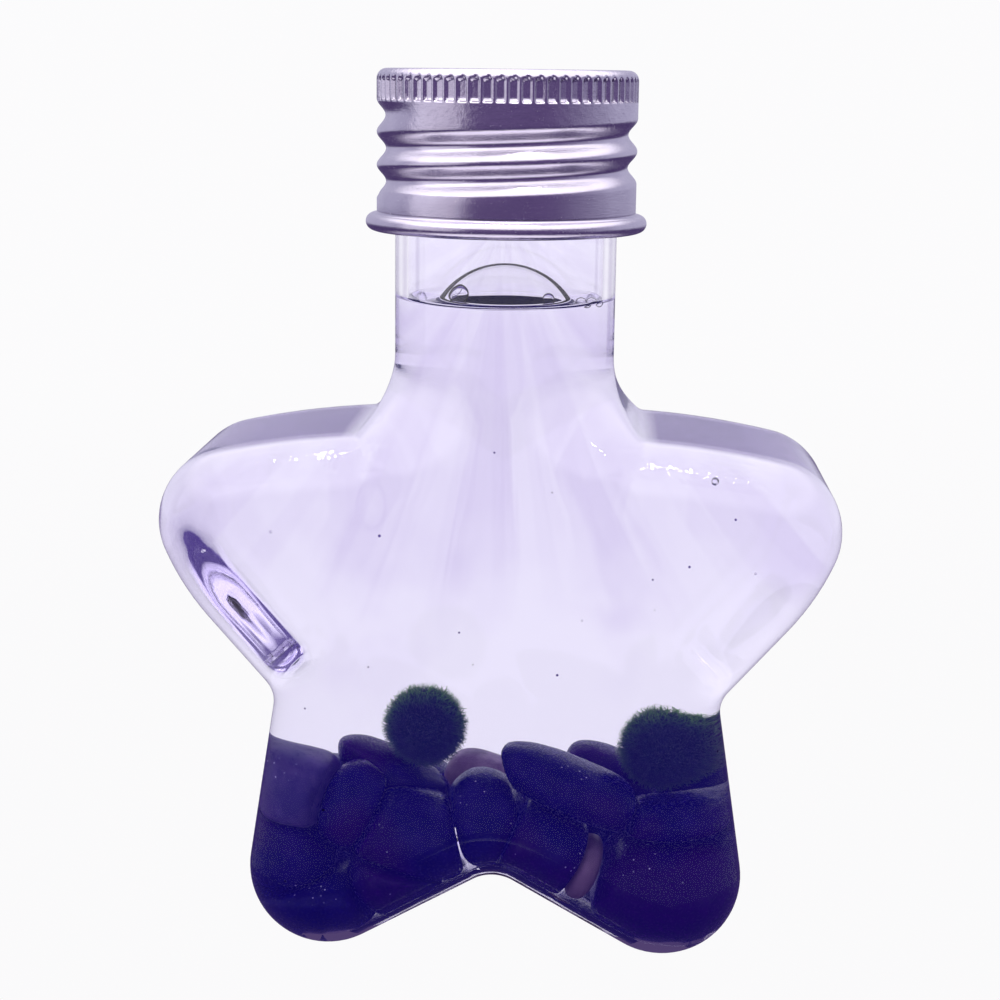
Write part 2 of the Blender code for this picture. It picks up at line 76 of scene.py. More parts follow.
class Wire:
    """One output socket of a material's nodes.

    The signs + - * / and ** between wires and numbers add Math nodes.  node() adds any other node: its
    type, its settings, then its inputs as values or wires, and gives back the output asked for.
    """

    def __init__(self, tree, socket=None):
        self.tree = tree
        self.socket = socket

    def node(self, kind, settings=None, inputs=None, output=0):
        made = self.tree.nodes.new(kind)
        for key, value in (settings or {}).items():
            setattr(made, key, value)
        for key, value in (inputs or {}).items():
            if isinstance(value, Wire):
                self.tree.links.new(value.socket, made.inputs[key])
            else:
                made.inputs[key].default_value = value
        return Wire(self.tree, made.outputs[output])

    def math(self, operation, first, second=0.0):
        return self.node("ShaderNodeMath", {"operation": operation}, {0: first, 1: second})

    def vector(self, operation, other=(0.0, 0.0, 0.0), output=0):
        """Vector maths on this place and another; a length comes from the output Value."""
        return self.node("ShaderNodeVectorMath", {"operation": operation}, {0: self, 1: other}, output)

    def __add__(self, other):
        return self.math("ADD", self, other)

    def __radd__(self, other):
        return self.math("ADD", other, self)

    def __sub__(self, other):
        return self.math("SUBTRACT", self, other)

    def __rsub__(self, other):
        return self.math("SUBTRACT", other, self)

    def __mul__(self, other):
        return self.math("MULTIPLY", self, other)

    def __rmul__(self, other):
        return self.math("MULTIPLY", other, self)

    def __truediv__(self, other):
        return self.math("DIVIDE", self, other)

    def __pow__(self, other):
        return self.math("POWER", self, other)

    def clamp(self):
        return self.node("ShaderNodeClamp", None, {"Value": self})

    def ramp(self, start, end):
        """0 at the start, 1 at the end and straight between; the end may be the lower of the two."""
        return ((self - start) / (end - start)).clamp()

    def hump(self, middle, half):
        """1 at the middle, falling as a parabola to 0 at half its width to either side."""
        return (1.0 - ((self - middle) / half) ** 2.0).clamp()

    def noise(self, per_mm, detail=3.0, roughness=0.5):
        """Cloudy noise from 0 to 1 with so many humps to the millimetre; self is a place in mm."""
        return self.node("ShaderNodeTexNoise", None,
                         {"Vector": self, "Scale": per_mm, "Detail": detail, "Roughness": roughness})

    def grit(self, per_mm):
        """Distance to the nearest of scattered points, so many to the millimetre; self is a place in mm."""
        return self.node("ShaderNodeTexVoronoi", None, {"Vector": self, "Scale": per_mm}, "Distance")

    def blend(self, first, second):
        """Colour between first and second by this wire from 0 to 1."""
        ends = {0: self, 6: first, 7: second}
        return self.node("ShaderNodeMix", {"data_type": "RGBA"}, ends, 2)

    def axis(self, name):
        return self.node("ShaderNodeSeparateXYZ", None, {0: self}, name)

    def ray(self, fact):
        """What is known of the ray that arrives, such as how many surfaces it has met."""
        return self.node("ShaderNodeLightPath", None, None, fact)

    def bump(self, height, depth_mm, strength=1.0):
        """Normal of a surface whose height runs from 0 to 1 over the given depth."""
        values = {"Height": height, "Strength": strength, "Distance": depth_mm * MM}
        return self.node("ShaderNodeBump", None, values)


def finish(name, **values):
    """A material with the given Principled inputs, and a wire with the place on the piece in mm."""
    made = bpy.data.materials.new(name)
    made.use_nodes = True
    shader = made.node_tree.nodes["Principled BSDF"]
    for key, value in values.items():
        shader.inputs[key.replace("_", " ")].default_value = value
    start = Wire(made.node_tree)
    place = start.node("ShaderNodeTexCoord", None, None, "Object")
    return made, shader, place.vector("MULTIPLY", (1.0 / MM, 1.0 / MM, 1.0 / MM))


def feed(shader, **wires):
    """Links wires to the Principled inputs they are named after."""
    for key, wire in wires.items():
        wire.tree.links.new(wire.socket, shader.inputs[key.replace("_", " ")])


def mix_in(place, shader, share, other):
    """Mixes another shader into a material, whose Principled one keeps the given share."""
    own = Wire(place.tree, shader.outputs[0])
    mixed = place.node("ShaderNodeMixShader", None, {0: share, 1: other, 2: own})
    place.tree.links.new(mixed.socket, place.tree.nodes["Material Output"].inputs["Surface"])


def grid_faces(rows, cols, wrap=False, start=0):
    """Triangles of a grid of points laid row by row, every quad split along the same diagonal."""
    r, c = np.meshgrid(np.arange(rows - 1), np.arange(cols if wrap else cols - 1), indexing="ij")
    a = start + r * cols + c
    b = start + r * cols + (c + 1) % cols
    return np.concatenate([np.stack([a, b, b + cols], axis=-1).reshape(-1, 3),
                           np.stack([a, b + cols, a + cols], axis=-1).reshape(-1, 3)])


WELD_M = 1e-6          # m within which points are merged
SLIVER_M = 1e-8        # m under which an edge is dropped


def piece(name, verts, faces, looks, body, index=None, hollow=None):
    """A closed, smooth piece from points in mm that rides on a body.

    index gives each face its look, and the faces of the looks from the number hollow on bound cavities.
    """
    mesh = bpy.data.meshes.new(name)
    mesh.from_pydata((np.asarray(verts) * MM).tolist(), [], np.asarray(faces).tolist())
    for look in looks:
        mesh.materials.append(look)
    if index is not None:
        mesh.polygons.foreach_set("material_index", np.asarray(index, dtype=np.int32))
    work = bmesh.new()
    work.from_mesh(mesh)
    bmesh.ops.remove_doubles(work, verts=work.verts, dist=WELD_M)
    bmesh.ops.dissolve_degenerate(work, edges=work.edges, dist=SLIVER_M)
    bmesh.ops.recalc_face_normals(work, faces=work.faces)
    if hollow is not None:
        bmesh.ops.reverse_faces(work, faces=[f for f in work.faces if f.material_index >= hollow])
    work.to_mesh(mesh)
    work.free()
    mesh.polygons.foreach_set("use_smooth", np.ones(len(mesh.polygons), dtype=bool))
    made = bpy.data.objects.new(name, mesh)
    SCENE.collection.objects.link(made)
    if body:
        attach(made, body)
    return made


# The room is pale all round for what is seen directly and through glass.  What shines on metal and glass
# is the room's bright ceiling, its lavender back, its dark violet front, where the camera stands, a dark
# edge round the table and the table's pale paper right below.  Light that the glass turns many times has
# lost most of its strength unless it comes from the ceiling, and gives clear glass its dark lines.
ROOM = (0.970, 0.966, 0.975, 1.0)
THROUGH = (1.055, 1.05, 1.06, 1.0)  # the table as it is seen through the bottle
FRONT_TONE = (0.135, 0.088, 0.230, 1.0)
BACK_TONE = (0.52, 0.50, 0.66, 1.0)
CEILING_TONE = (1.60, 1.54, 1.66, 1.0)
LOW_TONE = (0.085, 0.055, 0.16, 1.0)
PAPER_TONE = (1.25, 1.18, 1.35, 1.0)
EDGE_TONE = (0.15, 0.11, 0.31, 1.0)
# Parts of a direction, from -1 to 1, between which one tone gives way to the next.
CEILING_FROM = (0.44, 0.64)
BACK_FROM = (-0.75, 0.35)
LOW_FROM = (-0.05, -0.17)
PAPER_FROM = (-0.55, -0.75)
MANY_TURNS = (11.0, 15.0)  # surfaces met, from a plain way through the bottle to a lost one
TABLE_RINGS = (0.0, 150.0, 450.0, 4000.0)
TABLE_SIDES = 96
TABLE_PAINTED_SHADE = 0.01     # share of its glow that the table lacks round the bottle, a painted shade
TABLE_FADE = (120.0, 420.0)  # where that shade gives way to the room's own tone
SHADOW_CARD_SIZE = (44.0, 26.0, 0.0)  # half axes of a dark sheet under the bottle, seen in glass alone: a painted shadow
SHADOW_CARD_AT = (0.0, -8.0, 0.05)

room = bpy.data.worlds.new("room")
SCENE.world = room
room.use_nodes = True
room_wire = Wire(room.node_tree)
way = room_wire.node("ShaderNodeTexCoord", None, None, "Generated")
rise = way.axis("Z")
ceiling = rise.ramp(*CEILING_FROM)
shine = way.axis("Y").ramp(*BACK_FROM).blend(FRONT_TONE, BACK_TONE)
shine = rise.ramp(*LOW_FROM).blend(ceiling.blend(shine, CEILING_TONE), LOW_TONE)
shine = rise.ramp(*PAPER_FROM).blend(shine, PAPER_TONE)
is_shine = room_wire.ray("Is Glossy Ray") * (1.0 - room_wire.ray("Is Transmission Ray"))
scattered = room_wire.ray("Diffuse Depth").clamp()
lost = room_wire.ray("Ray Depth").ramp(*MANY_TURNS) * (1.0 - scattered)
seen = lost.blend(ROOM, ceiling.blend(EDGE_TONE, CEILING_TONE))
tone = is_shine.blend(seen, shine)
room.node_tree.links.new(tone.socket, room.node_tree.nodes["Background"].inputs["Color"])

turn = np.arange(TABLE_SIDES) * 2.0 * np.pi / TABLE_SIDES
circle = np.stack([np.cos(turn), np.sin(turn), 0.0 * turn], axis=1)
# The table glows as a light table does and throws back no light, so the bottle leaves no shadow on it; round
# the bottle it is a breath darker, a painted shade.
DULL_BLACK = {"Base_Color": (0.0, 0.0, 0.0, 1.0), "Roughness": 1.0, "Specular_IOR_Level": 0.0}
table_look, shader, place = finish("table white", **DULL_BLACK)
far = place.vector("LENGTH", output="Value").ramp(*TABLE_FADE)
plain, in_glass = (place.node("ShaderNodeEmission", None, {"Color": glow}) for glow in (ROOM, THROUGH))
glow = place.node("ShaderNodeMixShader", None, {0: place.ray("Is Transmission Ray"), 1: plain, 2: in_glass})
mix_in(place, shader, (1.0 - far) * TABLE_PAINTED_SHADE, glow)
table = piece("table", np.concatenate([ring * circle for ring in TABLE_RINGS]),
              grid_faces(len(TABLE_RINGS), TABLE_SIDES, True), [table_look], None)
table.visible_glossy = False
# Painted shadow: a dark, dimly glowing sheet stands for the bottle's shade on the table, seen only in the
# glass's shine and through it.
shadow_card_look, _, _ = finish("card black", Emission_Color=LOW_TONE, Emission_Strength=1.0, **DULL_BLACK)
shadow_card = piece("shadow_card", np.concatenate([0.0 * circle + SHADOW_CARD_AT, circle * SHADOW_CARD_SIZE + SHADOW_CARD_AT]),
             grid_faces(2, TABLE_SIDES, True), [shadow_card_look], None)
shadow_card.visible_camera = shadow_card.visible_diffuse = shadow_card.visible_shadow = False


def soft_lamp(name, at, aim_at, size, power, colour):
    """A rectangular soft lamp, its middle and its aim in mm, its width and height in mm."""
    light = bpy.data.lights.new(name, "AREA")
    light.shape = "RECTANGLE"
    light.size, light.size_y = size[0] * MM, size[1] * MM
    light.energy = power
    light.color = colour
    made = bpy.data.objects.new(name, light)
    SCENE.collection.objects.link(made)
    made.location = Vector(at) * MM
    made.rotation_mode = "QUATERNION"
    made.rotation_quaternion = (Vector(aim_at) - Vector(at)).to_track_quat("-Z", "Y")


soft_lamp("top lamp", (-20.0, -20.0, 700.0), (0.0, 0.0, 40.0), (420.0, 60.0), 2.2, (1.0, 0.98, 1.0))
soft_lamp("left lamp", (-620.0, -330.0, 330.0), (0.0, 0.0, 60.0), (800.0, 900.0), 1.2, (1.0, 0.99, 1.0))


# The bottle: clear soda glass blown into a star mould, with a round screw neck for its top point.  Its
# wall is a little uneven, as blown glass is, with faint ribs that fan out from the neck.  Where the
# inside is wet, the light passes from glass to water and bends less.
FOOT_SLOPE = 29.5      # degrees by which the arch falls towards the foot
ARCH_R = 3.85
ARCH_RUN = 14.25
FOOT_R = 8.8
FOOT_SIDE = 99.0
SIDE_RUN = 17.7
WAIST_R = 3.5
ARM_RISE = 49.0
ARM_RUN = 9.3
ARM_BELLY_R = 27.9
TIP_START = 67.3
TIP_R = 8.0
TIP_END = 167.4
SHOULDER_END = 176.6
ARMPIT_R = 1.2
FLARE_START = 134.3
FLARE_R = 10.1
NECK_R = 12.05
FOOT_FLAT = 0.35
DEPTH = 16.5
EDGE_R = 7.5
WALL = 1.4
BASE_EXTRA = 0.9       # how much thicker the glass is over the arch and under the feet
BASE_END = 60.0        # heading round the foot at which that has worn off
HUB = np.array([0.0, 40.0])
RIM_Z = 93.6
RIM_ROUND = 0.5
PITCH = 3.5
THREAD_Z = 83.9
THREAD_TURNS = 1.25
THREAD_DEPTH = 1.15
THREAD_WIDTH = 1.9
THREAD_RUN_IN = 0.12   # turns over which a ridge rises from the neck
RIB_TOP = 96.0         # height of the point that the ribs fan out from
RIBS = (17.0, 31.0)    # waves to the radian of the fan, broad and fine
RIB_HEIGHTS = (44.0, 58.0, 70.0, 74.0)
RIB_DEPTH = 0.020
WAVE_DEPTH = 0.035
UNEVEN_SET = 0.07      # set inwards, so that no wave stands out of the mould
INSIDE_WAVES = (1.0, 1.0)  # seed and strength of the unevenness
OUTSIDE_WAVES = (4.0, 0.6)
THREAD_STEP = 0.22     # mm between the rows of points that carry the thread
WATER_TOP = 70.9
CLIMB = 0.9            # how far the water climbs the glass
WATER_INDEX = 1.33
GLASS_INDEX = 1.5
QUARTER = 20           # steps round a quarter of the edge
QUARTER_TURN = np.radians(np.linspace(0.0, 90.0, QUARTER + 1))


def heading(degrees):
    """Unit vectors that point so many degrees from the first axis towards the second."""
    return np.stack([np.cos(np.radians(degrees)), np.sin(np.radians(degrees))], axis=-1)


def outline(shoulder_r, lift):
    """Points, headings, part names and spine points of the right half, raised by lift.

    Straight runs and arcs follow each other tangentially.  Every point of the outline is tied to one of
    the spine, which runs from the hub out to the foot and the arm and up the neck.
    """
    pos, head = np.array([0.0, lift]), 0.0
    points, heads, parts = [pos], [head], ["arch"]

    def arc(radius, end, steps, part):
        nonlocal pos, head
        turn = np.sign(end - head)
        stops = np.linspace(head, end, steps + 1)[1:]
        path = pos + turn * radius * (heading(stops - 90.0) - heading(head - 90.0))
        points.extend(path)
        heads.extend(stops)
        parts.extend([part] * steps)
        pos, head = path[-1], end

    def run(length, steps, part):
        nonlocal pos
        path = pos + heading(head) * np.linspace(0.0, length, steps + 1)[1:, None]
        points.extend(path)
        heads.extend([head] * steps)
        parts.extend([part] * steps)
        pos = path[-1]

    flat = np.degrees(np.arccos(1.0 - FOOT_FLAT / FOOT_R))
    arc(ARCH_R, -FOOT_SLOPE, 6, "arch")
    run(ARCH_RUN, 8, "foot out")
    arc(FOOT_R, -flat, 4, "foot")
    arc(FOOT_R, flat, 6, "foot")
    arc(FOOT_R, FOOT_SIDE, 18, "foot")
    run(SIDE_RUN, 8, "foot back")
    arc(WAIST_R, ARM_RISE, 8, "waist")
    run(ARM_RUN, 5, "arm out")
    arc(ARM_BELLY_R, TIP_START, 7, "arm out")
    arc(TIP_R, TIP_END, 22, "tip")
    arc(shoulder_r, SHOULDER_END, 12, "arm back")
    arc(ARMPIT_R, FLARE_START, 5, "flare")
    arc(FLARE_R, 90.0, 14, "flare")

    points, heads, parts = np.array(points), np.array(heads), np.array(parts)
    spine = np.tile(HUB, (len(points), 1))
    for limb, end, radius in (("foot", "foot", FOOT_R), ("arm", "tip", TIP_R)):
        first = np.flatnonzero(parts == end)[0]
        centre = points[first] + radius * heading(heads[first] + 90.0)
        spine[parts == end] = centre
        out, back = np.flatnonzero(parts == limb + " out"), np.flatnonzero(parts == limb + " back")
        step = (np.arange(len(out)) + 1.0) / len(out)
        spine[out] = HUB + step[:, None] * (centre - HUB)
        spine[back] = HUB + (1.0 - step[:, None]) * (centre - HUB)
    up = np.flatnonzero(parts == "flare")
    rise = (np.arange(len(up)) + 1.0) / len(up)
    spine[up, 1] = HUB[1] + rise * (points[-1][1] - HUB[1])
    return points, heads, parts, spine


# The shoulder's radius is what brings the walk to the neck, and the feet stand on the table.
short_of_neck = NECK_R - outline(0.0, 0.0)[0][-1][0]
shoulder_r = short_of_neck / (np.sin(np.radians(SHOULDER_END)) - np.sin(np.radians(TIP_END)))
lift = -FOOT_FLAT - outline(shoulder_r, 0.0)[0][:, 1].min()
OUT, HEAD, PART, SPINE = outline(shoulder_r, lift)
NORMAL = heading(HEAD + 90.0)
FLARE_TOP = OUT[-1][1]

# 0 on the star and 1 on the round neck, easing from the armpit up the flare.
walked = np.concatenate([[0.0], np.cumsum(np.linalg.norm(np.diff(OUT, axis=0), axis=1))])
armpit = walked[np.flatnonzero(PART == "flare")[0] - 1]
ease = np.clip((walked - armpit) / (walked[-1] - armpit), 0.0, 1.0)
SHARE = ease * ease * (3.0 - 2.0 * ease)

# 1 where the glass is thick at the base, 0 from the feet's sides upwards.
BASE = np.clip(1.0 - HEAD / BASE_END, 0.0, 1.0)
BASE = np.where(PART == "foot", BASE, np.isin(PART, ("arch", "foot out")))


def shell(wall, grounded):
    """Grid of the right front quarter of the bottle's skin, set in by wall.

    Each row starts on the side's middle line, runs along the straight side, round the edge by a quarter
    circle and over the face to the spine.  Up the flare the side and the face shrink to nothing and the
    quarter circle becomes a quarter of the round neck.
    """
    edge = EDGE_R + (NECK_R - EDGE_R) * SHARE
    side = (DEPTH - EDGE_R) * (1.0 - SHARE)
    inner = edge - wall
    inset = edge[:, None] - inner[:, None] * np.cos(QUARTER_TURN)
    if wall > 0.0:
        inset += BASE_EXTRA * BASE[:, None] * np.cos(QUARTER_TURN)
    grid = np.zeros((len(OUT), QUARTER + 3, 3))
    grid[:, 1:-1, 0] = OUT[:, :1] + NORMAL[:, :1] * inset
    grid[:, 1:-1, 2] = OUT[:, 1:] + NORMAL[:, 1:] * inset
    grid[:, 1:-1, 1] = -(side[:, None] + inner[:, None] * np.sin(QUARTER_TURN))
    grid[:, 0, 0::2] = grid[:, 1, 0::2]
    grid[:, -1, 0::2] = SPINE
    grid[:, -1, 1] = -np.where(PART == "flare", side + inner, DEPTH - wall)
    grid[np.abs(grid[:, :, 0]) < 1e-6, 0] = 0.0
    if grounded:
        grid[:, :, 2] = np.maximum(grid[:, :, 2], 0.0)
    return grid


def neck_rows(radii, heights):
    """Rows of a quarter of the round neck, one for each radius and height."""
    turn = np.concatenate([QUARTER_TURN[:1], QUARTER_TURN, QUARTER_TURN[-1:]])
    radii = np.asarray(radii, dtype=float)[..., None]
    radii, heights = np.broadcast_arrays(radii, np.asarray(heights)[..., None])
    rows = np.stack([radii * np.cos(turn), -radii * np.sin(turn), heights + 0.0 * turn], axis=2)
    rows[np.abs(rows[:, :, 0]) < 1e-6, 0] = 0.0
    return rows


def four_quarters(grid):
    """Points and faces of a quarter grid with its three mirror images."""
    rows, cols = grid.shape[:2]
    signs = [np.array([sx, sy, 1.0]) for sx in (1.0, -1.0) for sy in (1.0, -1.0)]
    verts = np.concatenate([(grid * sign).reshape(-1, 3) for sign in signs])
    return verts, np.concatenate([grid_faces(rows, cols, start=k * rows * cols) for k in range(4)])


def row_of(faces, grid):
    """Row of its quarter grid in which each face of a skin of four quarters lies."""
    rows, cols = grid.shape[:2]
    return np.mod(faces.min(axis=1), rows * cols) // cols


def thread(angle, height):
    """1 along the crest of the right-hand screw ridge and 0 beside it, with run-in and run-out."""
    phase = np.mod(angle, 2.0 * np.pi) / (2.0 * np.pi)
    best = np.zeros(np.shape(height))
    for lap in range(-1, 3):
        along = phase + lap
        off = (height - (THREAD_Z + PITCH * along)) / (0.5 * THREAD_WIDTH)
        ridge = np.where(np.abs(off) < 1.0, np.cos(0.5 * np.pi * off) ** 2, 0.0)
        run = np.clip(np.minimum(along, THREAD_TURNS - along) / THREAD_RUN_IN, 0.0, 1.0)
        best = np.maximum(best, ridge * run)
    return best


def unevenness(points, seed):
    """How far blown glass strays from its mould, in mm: broad waves, and ribs that fan out from the neck."""
    x, y, z = points.T
    fan = np.arctan2(x, RIB_TOP - z)
    ribs = np.sin(RIBS[0] * fan + seed + 0.6 * np.sign(y)) + 0.7 * np.sin(RIBS[1] * fan + 2.0 * seed)
    ribs *= np.interp(z, RIB_HEIGHTS, (0.0, 1.0, 1.0, 0.0))
    waves = np.sin(0.31 * x + 1.3 * seed) * np.sin(0.23 * z + seed)
    waves += 0.5 * np.sin(0.55 * x - 0.47 * z + 2.1 * seed)
    return RIB_DEPTH * ribs + WAVE_DEPTH * waves


def uneven(verts, seed, amount):
    """Moves points of the skin along the depth by the glass's unevenness, most on the flat faces."""
    moved = verts.copy()
    share = np.clip(np.abs(verts[:, 1]) / DEPTH, 0.0, 1.0) ** 2
    moved[:, 1] -= np.sign(verts[:, 1]) * amount * share * (unevenness(verts, seed) + UNEVEN_SET)
    return moved


thread_rows = np.arange(THREAD_Z - 1.2, RIM_Z - 1.8, THREAD_STEP)
plain_rows = np.arange(FLARE_TOP + 1.0, THREAD_Z - 1.4, 1.0)
bend = np.linspace(0.0, 90.0, 5)
outer = shell(0.0, True)
neck_outer = neck_rows(NECK_R, np.concatenate([plain_rows, thread_rows]))
rim_out = RIM_ROUND * heading(bend) + [NECK_R - RIM_ROUND, RIM_Z - RIM_ROUND]
rim_in = RIM_ROUND * heading(bend + 90.0) + [NECK_R - WALL + RIM_ROUND, RIM_Z - RIM_ROUND]
rim_out, rim_in = neck_rows(*rim_out.T), neck_rows(*rim_in.T)
contact = WATER_TOP + CLIMB
dry_rows = neck_rows(NECK_R - WALL, np.linspace(RIM_Z - 1.5, contact, 16))
wet_rows = neck_rows(NECK_R - WALL, [contact - 0.25, WATER_TOP, WATER_TOP - 2.0])
inner = shell(WALL, False)[::-1]
grid = np.concatenate([outer, neck_outer, rim_out, rim_in, dry_rows, wet_rows, inner])
rows, cols = grid.shape[:2]
first_wet = rows - len(inner) - len(wet_rows)
verts, faces = four_quarters(grid)
inside = np.tile(np.repeat(np.arange(rows) >= first_wet - len(dry_rows), cols), 4)
verts = np.where(inside[:, None], uneven(verts, *INSIDE_WAVES), uneven(verts, *OUTSIDE_WAVES))
radius = np.hypot(verts[:, 0], verts[:, 1])
on_neck = ~inside & (verts[:, 2] > FLARE_TOP + 3.0) & (verts[:, 2] < RIM_Z - 1.6)
ridge = thread(np.arctan2(verts[:, 1], verts[:, 0]), verts[:, 2])
verts[:, :2] *= np.where(on_neck, 1.0 + THREAD_DEPTH * ridge / NECK_R, 1.0)[:, None]
wetted = row_of(faces, grid) >= first_wet - 1

CLEAR = {"Roughness": 0.0, "Transmission_Weight": 1.0}
CLEAR_TINT = (0.935, 0.922, 1.0, 1.0)  # over the lower body and round the sides
LILAC_TINT = (0.82, 0.78, 0.93, 1.0)
# Painted shade for the shoulders' edge, a sliver along the left tip and the neck's sides.
SHOULDER_PAINTED_SHADE = (0.30, 0.25, 0.44, 1.0)
SPECK_TINT = (0.02, 0.01, 0.10, 1.0)
# Painted marks of two drops on the front of the glass, a darker rim round a lighter middle for a drop's dark
# edge and glint: middle, and one over each half axis.
PAINTED_DROP_MARKS = [((-12.9, -16.5, 51.2), (1.0 / 1.6, 0.1, 1.0 / 2.7)),
        ((-14.4, -12.0, 59.6), (1.0 / 2.2, 0.1, 1.0 / 0.8))]
FAN_TOP = 80.0         # height of the point that the streaks fan out from
STREAKS = (17.0, 41.0) # waves to the radian of the fan, broad and fine
PAINTED_CLOUDS = 0.055         # humps of painted shade in the tint to the millimetre
# Heights from which the tint has streaks, covers the sides, and fades into the neck.
STREAKS_FROM = (38.0, 45.0)
SIDES_FROM = (58.0, 64.0)
NECK_FROM = (69.0, 72.0)
# The shoulders' painted dark edge: squares of the way across and of the depth, and heights.
SHOULDER_OUT = (230.0, 290.0)
SHOULDER_THIN = (92.0, 72.0)
SHOULDER_FROM = (52.0, 55.0)


def glass_look(name, index):
    """Glass with a breath of lilac and painted shade: clouds and streaks that fan out from the neck, clearer
    low down.
    """
    made, shader, place = finish(name, IOR=index, **CLEAR)
    x, y, z = (place.axis(letter) for letter in "XYZ")
    fan = x.math("ARCTAN2", x, FAN_TOP - z)
    drawn = place.node("ShaderNodeCombineXYZ", None, {"X": fan * 8.0, "Y": y * 0.02, "Z": z * 0.03})
    drawn = drawn.noise(1.0, 2.5)
    broad = fan.math("SINE", fan * STREAKS[0] + drawn * 5.0 + y * 0.03)
    fine = fan.math("SINE", fan * STREAKS[1] + drawn * 3.0)
    bands = (broad * 4.0 + 0.4).clamp() * 1.1 + (fine * 3.0 - 1.0).clamp() * 0.5
    # Painted shade: the clouds, the deeper tint higher up and in part the streaks stand in for the room seen
    # blurred through the uneven glass.
    clouds = place.noise(PAINTED_CLOUDS, 3.0, 0.55)
    high = (z + (clouds - 0.5) * 22.0).ramp(*STREAKS_FROM)
    deep = 0.24 + high * (0.25 + bands * 0.30) + clouds.ramp(0.53, 0.60143) * 0.26
    # A painted dark rim and a painted lighter middle for each drop.
    for middle, spread in PAINTED_DROP_MARKS:
        reach = place.vector("SUBTRACT", middle).vector("MULTIPLY", spread).vector("LENGTH", output="Value")
        deep = deep + reach.hump(0.92, 0.1195) * 0.7 - (1.0 - reach).clamp() * 0.4
    face = ((y * y - 40.0) / 120.0 + z.ramp(*SIDES_FROM)).clamp()
    deep = deep.clamp() * face * (1.0 - z.ramp(*NECK_FROM) * 0.45)
    # Painted shade: the shoulders' edge, a sliver along the left tip and the neck's sides are tinted dark,
    # where the glass bends the dark room into view.
    shoulder = (x * x).ramp(*SHOULDER_OUT) * (y * y).ramp(*SHOULDER_THIN) * z.ramp(*SHOULDER_FROM)
    sliver = x.ramp(-35.8, -36.05) * z.hump(49.4, 2.8)
    neck_edge_shade = (x * x).hump(131.0, 7.0) * z.ramp(64.0, 67.0) * 0.6
    tint = (shoulder + sliver + neck_edge_shade).clamp().blend(deep.blend(CLEAR_TINT, LILAC_TINT), SHOULDER_PAINTED_SHADE)
    specks = place.grit(0.16).ramp(0.03, 0.02167)
    ripple = (z + x * x * 0.003).hump(56.5, 1.265) * (x * x).ramp(110.0, 170.0) * (x * x).ramp(900.0, 700.0)
    feed(shader, Base_Color=specks.blend(tint, SPECK_TINT),
         Normal=place.bump(place.noise(0.8, 2.0) * ripple, 0.16))
    return made


dry_look = glass_look("clear glass", GLASS_INDEX)
wet_look = glass_look("wetted glass", GLASS_INDEX / WATER_INDEX)
glass = piece("glass_bottle", verts, faces, [dry_look, wet_look], "bottle", wetted)
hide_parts("bottle")


# The pebbles: tumbled dark stones, purple to nearly black, and two pale pinkish ones.  They were dropped
# into the bottle one by one and fill both feet, so they lie close to each other and to the glass.
STONE_INDEX = 1.16     # stone against water
CONTACT = 0.03         # mm between two pebbles
NEIGHBOURHOOD = 26.0   # mm between the middles of two pebbles that may touch
LONGEST = 16.0         # mm, further than any pebble reaches
MOSS_GIVE = 0.96       # how far a moss ball gives way, in its radius
WORN = 0.012           # how deep a pebble's hollows are, in its reach
PEBBLE_ROWS = 40
PEBBLE_COLS = 64
CROWD_POWER = 18.0     # how tightly a stone's edges are rounded where two limits meet
OVAL_POWER = 2.5
# Centre, half length, half height and half depth, and tilt in degrees.
PEBBLES = {
    "pebble_left_square": ((-21.4, -7.5, 17.7), (5.4, 4.4, 6.8), -6),
    "pebble_left_long": ((-11.5, -4.2, 18.7), (7.3, 2.8, 4.6), -26),
    "pebble_left_small": ((-15.6, -9.6, 16.6), (5.2, 3.6, 3.8), 60),
    "pebble_left_outer": ((-21.9, -7.0, 10.9), (5.2, 5.0, 7.0), 80),
    "pebble_left_foot": ((-18.9, -6.5, 5.2), (7.2, 4.2, 7.6), -3),
    "pebble_left_middle": ((-9.6, -8.6, 13.6), (7.8, 5.0, 6.2), -12),
    "pebble_left_inner": ((-11.4, -7.5, 7.9), (5.6, 4.0, 6.6), -26),
    "pebble_pale": ((-1.7, 2.8, 16.4), (4.6, 3.3, 4.6), -18),
    "pebble_centre": ((-1.0, -7.6, 15.2), (5.2, 4.9, 5.6), -40),
    "pebble_right_long": ((8.7, -8.4, 19.0), (9.4, 3.1, 5.0), -22),
    "pebble_right_behind": ((13.2, 3.6, 17.4), (6.0, 2.7, 4.6), -24),
    "pebble_right_middle": ((5.4, -7.8, 12.2), (5.8, 5.0, 6.4), -38),
    "pebble_right_sliver": ((10.2, -7.4, 9.8), (3.3, 1.7, 4.8), 72),
    "pebble_right_flat": ((19.2, -7.4, 15.7), (6.2, 2.3, 6.6), 2),
    "pebble_right_foot": ((18.6, -6.8, 7.7), (8.2, 6.8, 7.6), 4),
    "pebble_back_left_top": ((-20.4, 7.2, 13.8), (5.2, 3.7, 6.4), 2),
    "pebble_back_left_foot": ((-19.4, 7.2, 7.0), (6.8, 5.4, 7.0), -6),
    "pebble_back_left_middle": ((-10.4, 6.6, 9.4), (4.8, 4.6, 6.4), -20),
    "pebble_back_left_upper": ((-9.8, 8.0, 14.8), (5.0, 3.0, 5.2), -12),
    "pebble_back_centre": ((-1.4, 7.6, 12.6), (6.2, 2.9, 6.0), 4),
    "pebble_back_right_middle": ((8.0, 6.8, 12.0), (4.8, 4.4, 6.2), 12),
    "pebble_back_right_foot": ((17.8, 7.2, 7.6), (7.2, 6.0, 7.0), 5),
    "pebble_back_right_top": ((19.8, 7.2, 15.6), (4.8, 3.2, 6.0), -6),
}
PALE_PEBBLES = ("pebble_pale", "pebble_right_sliver")
